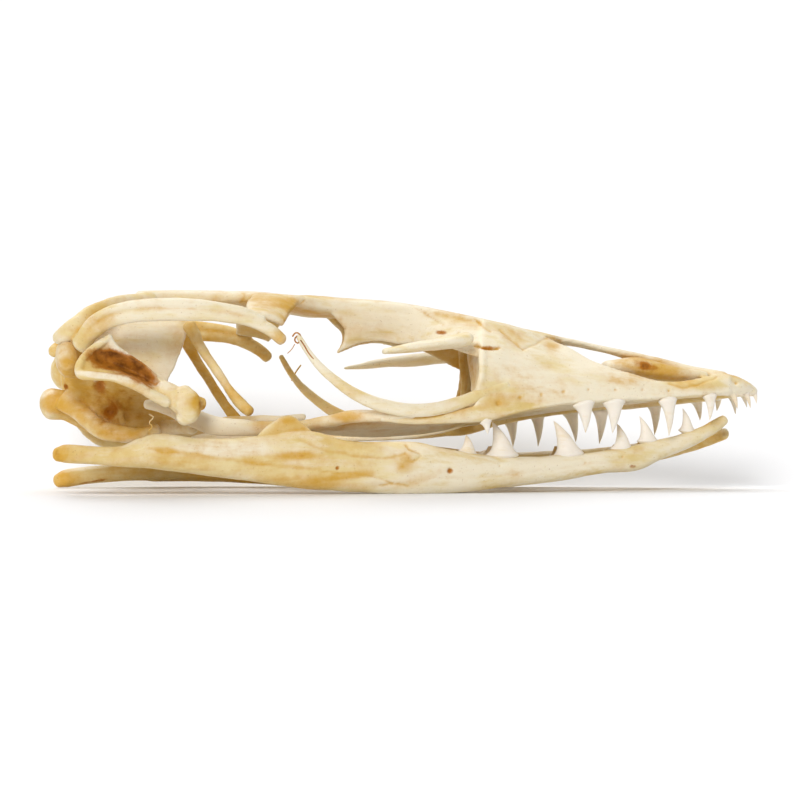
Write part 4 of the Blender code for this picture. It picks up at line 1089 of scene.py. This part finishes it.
def bone_finish(name, cream=CREAM, pale=PALE, pores=0.35):
    """Cream with paler fibres, then ochre, brown and umber where the stain values are high, then pores."""
    g = Graph(name)
    place = g.add("ShaderNodeTexCoord", out="Object")
    along = g.add("ShaderNodeMapping", {"Vector": place, "Scale": (0.22, 1, 1)})
    drift = g.noise(place, 90.0)
    cloud = g.noise(place, 260.0, 5.0, 0.6)
    fibre = g.noise(along, 900.0, 6.0, 0.62)
    fleck = g.noise(place, 620.0, 5.0, 0.6)
    speck = g.noise(place, 3200.0, 2.0, 0.5)
    tone = g.add("ShaderNodeAttribute", out="Color", attribute_name="tone")
    how_ochre, how_brown, how_pale = g.add("ShaderNodeSeparateColor", {"Color": tone}).node.outputs
    base = g.mix(g.ramp(drift, 0.38, 0.66), cream, STRAW)
    light = g.frayed(how_pale, fibre, 1.5)
    base = g.mix(g.ramp(light, 0.12, 0.75), base, pale)
    worn = g.frayed(g.frayed(g.frayed(how_ochre, fleck, 0.7), fibre, 1.0), cloud, 1.0)
    base = g.mix(g.ramp(worn, 0.15, 1.25, 0.0, 0.95), base, OCHRE)
    dark = g.frayed(how_brown, fleck, 1.3)
    base = g.mix(g.ramp(dark, 0.20, 0.80, 0.0, 0.95), base, BROWN)
    base = g.mix(g.ramp(dark, 0.80, 1.25, 0.0, 0.95), base, UMBER)
    base = g.mix(g.ramp(speck, 0.66, 0.74, 0.0, pores), base, PORE)
    g.tree.links.new(base, g.shader.inputs["Base Color"])
    rough = g.ramp(fleck, 0.3, 0.7, 0.40, 0.58)
    g.tree.links.new(rough, g.shader.inputs["Roughness"])
    g.shader.inputs["Specular IOR Level"].default_value = 0.22
    g.shader.inputs["Subsurface Weight"].default_value = 0.10
    g.shader.inputs["Subsurface Radius"].default_value = (1, 0.80, 0.45)
    g.shader.inputs["Subsurface Scale"].default_value = 0.0011
    height = g.math("ADD", g.math("MULTIPLY", fibre, 0.7), g.math("MULTIPLY", speck, 0.35))
    height = g.math("ADD", height, g.math("MULTIPLY", fleck, 0.6))
    bump = g.add("ShaderNodeBump", {"Height": height, "Strength": 0.5, "Distance": 0.00014})
    g.tree.links.new(bump, g.shader.inputs["Normal"])
    return g.material


TOOTH_CREAM = (0.84, 0.72, 0.54, 1)
TOOTH_PALE = (0.90, 0.83, 0.72, 1)
BONE = bone_finish("dry_bone")
TOOTH = bone_finish("tooth_ivory", TOOTH_CREAM, TOOTH_PALE, pores=0.1)
print("materials:", BONE.name, TOOTH.name)

# %% [markdown]
# ## From skin to finished piece
# The relief moves the skin's points along their normals, and the stain values go into an attribute. Only
# then is the piece set in its place, because seams and marks are found in the side view. The place goes
# into the mesh, so that the object itself stays at the origin.

# %% Finish a piece
PIECES = []
CUT_OCHRE = 2.6


def bone_piece(name, nodes, shape, place, material=BONE, marks=(), seams=(), holes=(), lean=LEAN,
               seed=1, relief=1.0, **stain):
    """Relief and stains on a skin, then its points set in place: the finished piece, riding on the skull.
    No point goes below the paper."""
    points, faces = shape
    normals = normals_of(points, faces)
    u, v, facing = side_view(points, normals, lean)
    cut = seam_depth(u, v, facing, seams) + hole_depth(u, v, facing, holes)
    lift = relief * grain(points, seed) - cut
    tones = stains(points, normals, faces, marks, lean, seed, **stain)
    tones[:, 0] = np.clip(tones[:, 0] + CUT_OCHRE * cut, 0, 1)
    points = points + normals * lift[:, None]
    matrix = np.array(place)
    placed = points @ matrix[:3, :3].T + matrix[:3, 3]
    placed[:, 2] = np.maximum(placed[:, 2], 0)
    data = mesh_data(name, placed, faces)
    data.shade_smooth()
    layer = data.attributes.new("tone", "FLOAT_COLOR", "POINT")
    layer.data.foreach_set("color", tones.astype(np.float32).ravel())
    data.materials.append(material)
    piece = bpy.data.objects.new(name, data)
    bpy.context.scene.collection.objects.link(piece)
    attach(piece, "root")
    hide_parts(*nodes)
    PIECES.append(piece)
    print(name, len(faces), "triangles")
    return piece


# %% [markdown]
# ## Marks of this skull, with some painted light and shade
# These are read from the photograph, in its pixels: where a seam runs, where a hole sits, where the
# bone is ochre, brown or pale. A mark is (how strong, centre x, centre y, half width, half height, angle);
# a seam is (line, half width in mm, depth in mm); a hole is (x, y, radius in mm, depth in mm).

# %% Marks
def toned(channel):
    """A function that gives its marks the channel of the tone that they change."""
    return lambda *marks: [(channel, *mark) for mark in marks]


ochre, brown, pale = (toned(channel) for channel in range(3))
# The ochre marks at 310, 317 and 291, 321 and the brown at 291, 322 are painted shade under the brow.
ROOF_MARKS_AND_SHADE = (ochre((0.18, 300, 310, 200, 22, 3), (0.45, 270, 303, 36, 7, 0),
                    (0.8, 310, 317, 30, 6, -18), (0.9, 291, 321, 9, 6, 0), (0.5, 455, 318, 30, 8, -20),
                    (0.6, 340, 330, 6, 12, 0))
             + brown((0.45, 291, 322, 8, 3, 0), (0.9, 441, 333.5, 5.5, 2.2, 0))
             + pale((0.5, 225, 292, 60, 3, 0), (0.3, 380, 322, 40, 10, 8)))
# The pale mark along 165, 303 is a painted highlight on the arch's upper ridge.
ARCH_MARKS_AND_HIGHLIGHT = (ochre((0.5, 105, 325, 14, 12, 0), (0.7, 281, 336, 8, 9, 0))
             + pale((0.6, 165, 303, 40, 4, 0)))
ROOF_SEAMS = [
    ([(400, 300), (415, 308), (430, 318), (443, 326)], 0.22, 0.16),
    ([(303, 296), (306, 300), (302, 304)], 0.14, 0.14),
    ([(240, 291), (246, 297), (241, 304)], 0.18, 0.10),
]
SNOUT_MARKS = (ochre((0.6, 552, 345, 10, 12, 0), (0.5, 618, 379, 26, 7, -12),
                     (0.6, 512, 338, 16, 8, -30), (0.55, 440, 413, 40, 3.5, 8),
                     (0.3, 500, 400, 16, 6, 0), (0.6, 470, 372, 6, 24, 0), (1.4, 650, 368, 36, 10, -12),
                     (0.4, 740, 378, 16, 5, -20))
              + brown((0.75, 487, 348.5, 12, 2.2, 0), (0.7, 644, 366, 14, 5, -12),
                      (0.6, 645, 367, 4, 3, 0))
              + pale((0.7, 520, 372, 40, 14, -25), (0.7, 600, 362, 40, 8, -20),
                     (0.5, 650, 394, 60, 5, 0), (0.5, 560, 395, 60, 8, 4)))
SNOUT_SEAMS = [
    ([(475, 320), (482, 327), (490, 332)], 0.2, 0.14),
    ([(500, 330), (512, 340), (523, 350)], 0.2, 0.14),
    ([(400, 413), (420, 418), (440, 415), (455, 408), (470, 401), (485, 393)], 0.22, 0.2),
    ([(475, 347), (486, 348.5), (498, 349)], 0.22, 0.35),
    ([(523, 350), (535, 345), (548, 338), (560, 342)], 0.2, 0.12),
    ([(668, 384), (684, 388), (700, 384), (716, 378)], 0.2, 0.12),
]
SNOUT_HOLES = [
    (498, 404, 0.34, 0.4), (520, 398, 0.26, 0.28), (541, 395, 0.26, 0.28), (563, 392, 0.26, 0.28),
    (588, 390, 0.26, 0.28), (615, 390, 0.24, 0.25), (642, 390, 0.24, 0.25), (668, 391, 0.24, 0.25),
    (735, 384, 0.3, 0.25), (458, 334, 0.22, 0.22),
]
# The pale mark at 155, 350 is painted light on the side of the braincase that the arch shades.
BRAIN_MARKS_AND_LIGHT = (ochre((0.6, 72, 360, 18, 24, 0), (1.3, 57, 406, 15, 7, 0), (1.3, 112, 405, 50, 32, -20))
              + brown((0.40, 112, 406, 36, 26, -20), (0.9, 66, 388, 3, 3, 0), (0.7, 101, 387, 6, 6, 0),
                      (0.5, 110, 413, 6, 10, -30))
              + pale((-0.8, 112, 405, 46, 28, -20), (1.6, 97, 382, 2.5, 2.5, 0),
                     (0.9, 95, 415, 50, 6, -38), (0.8, 50, 392, 9, 7, 0), (0.15, 155, 350, 35, 25, 0)))
BRAIN_HOLES = [
    (66, 388, 0.45, 0.5), (99, 385, 0.8, 0.8), (110, 413, 1.1, 0.9), (137.5, 428, 0.22, 0.3),
    (150, 434, 0.22, 0.3), (84, 400, 0.4, 0.3), (128, 418, 0.7, 0.4),
]
QUADRATE_MARKS = (ochre((0.9, 201, 405, 9, 10, 0))
                 + brown((1.15, 108, 361, 20, 10, -14), (1.1, 142, 374, 20, 9, -38),
                         (1.0, 125, 365, 20, 9, -25), (0.5, 203, 405, 5, 7, 0))
                 + pale((0.9, 120, 379, 44, 3.5, -8), (0.9, 122, 347, 8, 12, 60)))
PALATE_MARKS = (ochre((0.8, 347, 417, 14, 5, 0), (0.5, 260, 425, 14, 6, 0))
               + pale((0.9, 150, 404, 10, 5, -20), (0.5, 390, 425, 50, 12, 0)))
JAW_MARKS = (ochre((0.9, 60, 452, 9, 9, 0), (0.8, 300, 456, 18, 4, 0), (0.75, 349, 476, 28, 3.5, 6),
                   (0.7, 405, 464, 8, 10, -35), (0.7, 166, 451, 7, 3, 0), (0.6, 606, 447, 10, 3, -20),
                   (0.8, 703, 418, 6, 7, -30), (-0.25, 530, 468, 100, 22, 5),
                   (0.15, 120, 456, 80, 14, 0), (0.4, 330, 486, 60, 5, 0), (0.45, 420, 480, 30, 5, 20),
                   (0.5, 291, 420, 10, 5, 0))
            + brown((0.4, 58, 452, 4, 7, 0), (0.5, 301, 456, 6, 2, 0), (0.25, 405, 462, 5, 7, -35),
                    (1.0, 450, 471, 3.2, 3.2, 0), (0.9, 337.5, 468.5, 2, 2, 0),
                    (0.9, 675, 431, 2.6, 2, 0), (0.7, 632, 467, 4, 2, 0))
            + pale((0.8, 230, 450, 50, 7, 0), (0.5, 510, 470, 90, 12, 4)))
JAW_SEAMS = [
    ([(405, 446), (412, 451), (421, 455), (416, 460), (407, 462)], 0.2, 0.2),
    ([(323, 471), (345, 474), (375, 478), (392, 484)], 0.22, 0.16),
    ([(380, 486), (395, 484), (407, 487)], 0.18, 0.16),
    ([(600, 449), (607, 448), (613, 446)], 0.14, 0.16),
    ([(150, 449), (200, 456), (260, 464), (320, 470)], 0.3, 0.12),
    ([(440, 479), (500, 476), (560, 469), (620, 460)], 0.35, 0.10),
    ([(300, 440), (330, 452), (380, 458), (405, 455)], 0.28, 0.14),
]
JAW_HOLES = [
    (450, 471, 0.36, 0.5), (337.5, 468.5, 0.2, 0.3), (675, 431, 0.24, 0.35), (500, 466, 0.2, 0.25),
    (545, 467, 0.2, 0.25), (585, 463, 0.2, 0.25), (622, 457, 0.2, 0.25), (297, 456, 0.3, 0.2),
]
FAR_JAW_MARKS = (ochre((0.9, 60, 452, 10, 10, 0), (0.5, 260, 470, 30, 6, 0))
                + brown((0.8, 93, 458.5, 16, 2, 0)))
THREAD_MARKS = brown((0.9, 310, 350, 60, 60, 0))
TOOTH_RELIEF = 0.25
print("marks on the right jaw:", len(JAW_MARKS))

# %% [markdown]
# ## The finished bones
# Each group of lofts is fused, worked and stained. The cranium is one solid in the frame; here its roof,
# snout, braincase, palate and cheek bars are fused apart, so that each can be fine enough, and they meet
# where real seams run.

# %% Cranium
def head_piece(name, shape, **finish):
    return bone_piece(name, ["cranium"], shape, HEAD_PLACE, **finish)


shield = roof() + frontal_walls() + brow_bars() + cheek_walls() + tooth_ridges() + orbit_fronts()
head_piece("roof_and_snout", fused(shield + naris_floors(), voxel=SHIELD_VOXEL), seed=3,
           marks=ROOF_MARKS_AND_SHADE + SNOUT_MARKS, seams=ROOF_SEAMS + SNOUT_SEAMS, holes=SNOUT_HOLES)
head_piece("upper_arches", fused(temple_arches() + parietal_arms()), marks=ARCH_MARKS_AND_HIGHLIGHT, seed=5, ochre=0.34)
head_piece("braincase", fused(braincase()), marks=BRAIN_MARKS_AND_LIGHT, holes=BRAIN_HOLES, seed=8, ochre=0.42,
           relief=1.6)
# The palate's higher pale value is painted light: it brightens the palate where it lies in shade.
head_piece("palate", fused(palate()), marks=PALATE_MARKS, seed=12, ochre=0.34, pale=0.5, inner=0.1)
head_piece("cheek_bars", fused(cheek_bones(), voxel=SLIM_VOXEL, rounds=4), seed=14, relief=0.5)
head_piece("upper_teeth", joined(upper_teeth()), material=TOOTH, seed=16, relief=TOOTH_RELIEF,
           ochre=0.12, pale=0.7, inner=0.0)
head_piece("dried_threads", joined(threads()), seed=41, relief=0.0, ochre=0.9, pale=0.0, marks=THREAD_MARKS)

# %% [markdown]
# ## The loose bones in place
# The quadrate and the prop are made once and turned over for the far side. The two brow blades lie at
# different angles in the photograph, so each has a path of its own.

# %% Loose bones in place
for side, turned in (("right", lambda shape: shape), ("left", other_side)):
    bone_piece(f"quadrate_{side}_shell", [f"quadrate_{side}"],
               fused([turned(shape) for shape in quadrate()], voxel=SLIM_VOXEL), HEAD_PLACE,
               marks=QUADRATE_MARKS, seed=20, one_sided=False, inner=0.1)
    bone_piece(f"epipterygoid_{side}_prop", [f"epipterygoid_{side}"],
               fused([turned(epipterygoid())], voxel=PROP_VOXEL, rounds=4), HEAD_PLACE, seed=24,
               ochre=0.8, pale=0.1)
bone_piece("palpebral_right_blade", ["palpebral_right"],
           fused([head_rod(NEAR_PALPEBRAL)], voxel=SLIM_VOXEL), HEAD_PLACE, seed=27)
far_blade = np.array(FAR_PALPEBRAL) * np.array([1, 1, -1, 1, 1])
# The far blade's low ochre and high pale values are painted light: they brighten it where it lies in shade.
bone_piece("palpebral_left_blade", ["palpebral_left"], fused([head_rod(far_blade)], voxel=SLIM_VOXEL),
           HEAD_PLACE, seed=28, inner=0.0, ochre=0.15, pale=0.6)

# %% [markdown]
# ## The lower jaw in place
# Both halves come from one skin. The near half stands upright, and the far half is the same skin turned
# over and rolled on its side. The far teeth are hidden, so they are short stumps.

# %% Lower jaw in place
jaw_skin = fused([jaw_body(), coronoid()])
bone_piece("jaw_right_bone", ["jaw_right"], jaw_skin, JAW_PLACE, marks=JAW_MARKS, seams=JAW_SEAMS,
           holes=JAW_HOLES, lean=UPRIGHT, seed=31, ochre=0.36)
bone_piece("jaw_left_bone", ["jaw_left"], other_side(jaw_skin), FAR_JAW_PLACE, marks=FAR_JAW_MARKS,
           seams=JAW_SEAMS, holes=JAW_HOLES, lean=UPRIGHT, seed=33, one_sided=False)
bone_piece("jaw_right_teeth", ["jaw_right"], joined(lower_teeth()), JAW_PLACE, material=TOOTH,
           lean=UPRIGHT, seed=35, relief=TOOTH_RELIEF, ochre=0.12, pale=0.7)
stumps = [other_side(stump) for stump in lower_teeth(FAR_TOOTH_STUMP)]
bone_piece("jaw_left_teeth", ["jaw_left"], joined(stumps), FAR_JAW_PLACE, material=TOOTH, lean=UPRIGHT,
           seed=36, relief=TOOTH_RELIEF, ochre=0.2, pale=0.5)

# %% [markdown]
# ## The finished pieces
# The finished skull has to fill the same box as the CAD skull; here the finished pieces are counted.

# %% Count of the finished pieces
print(len(PIECES), "finished pieces")
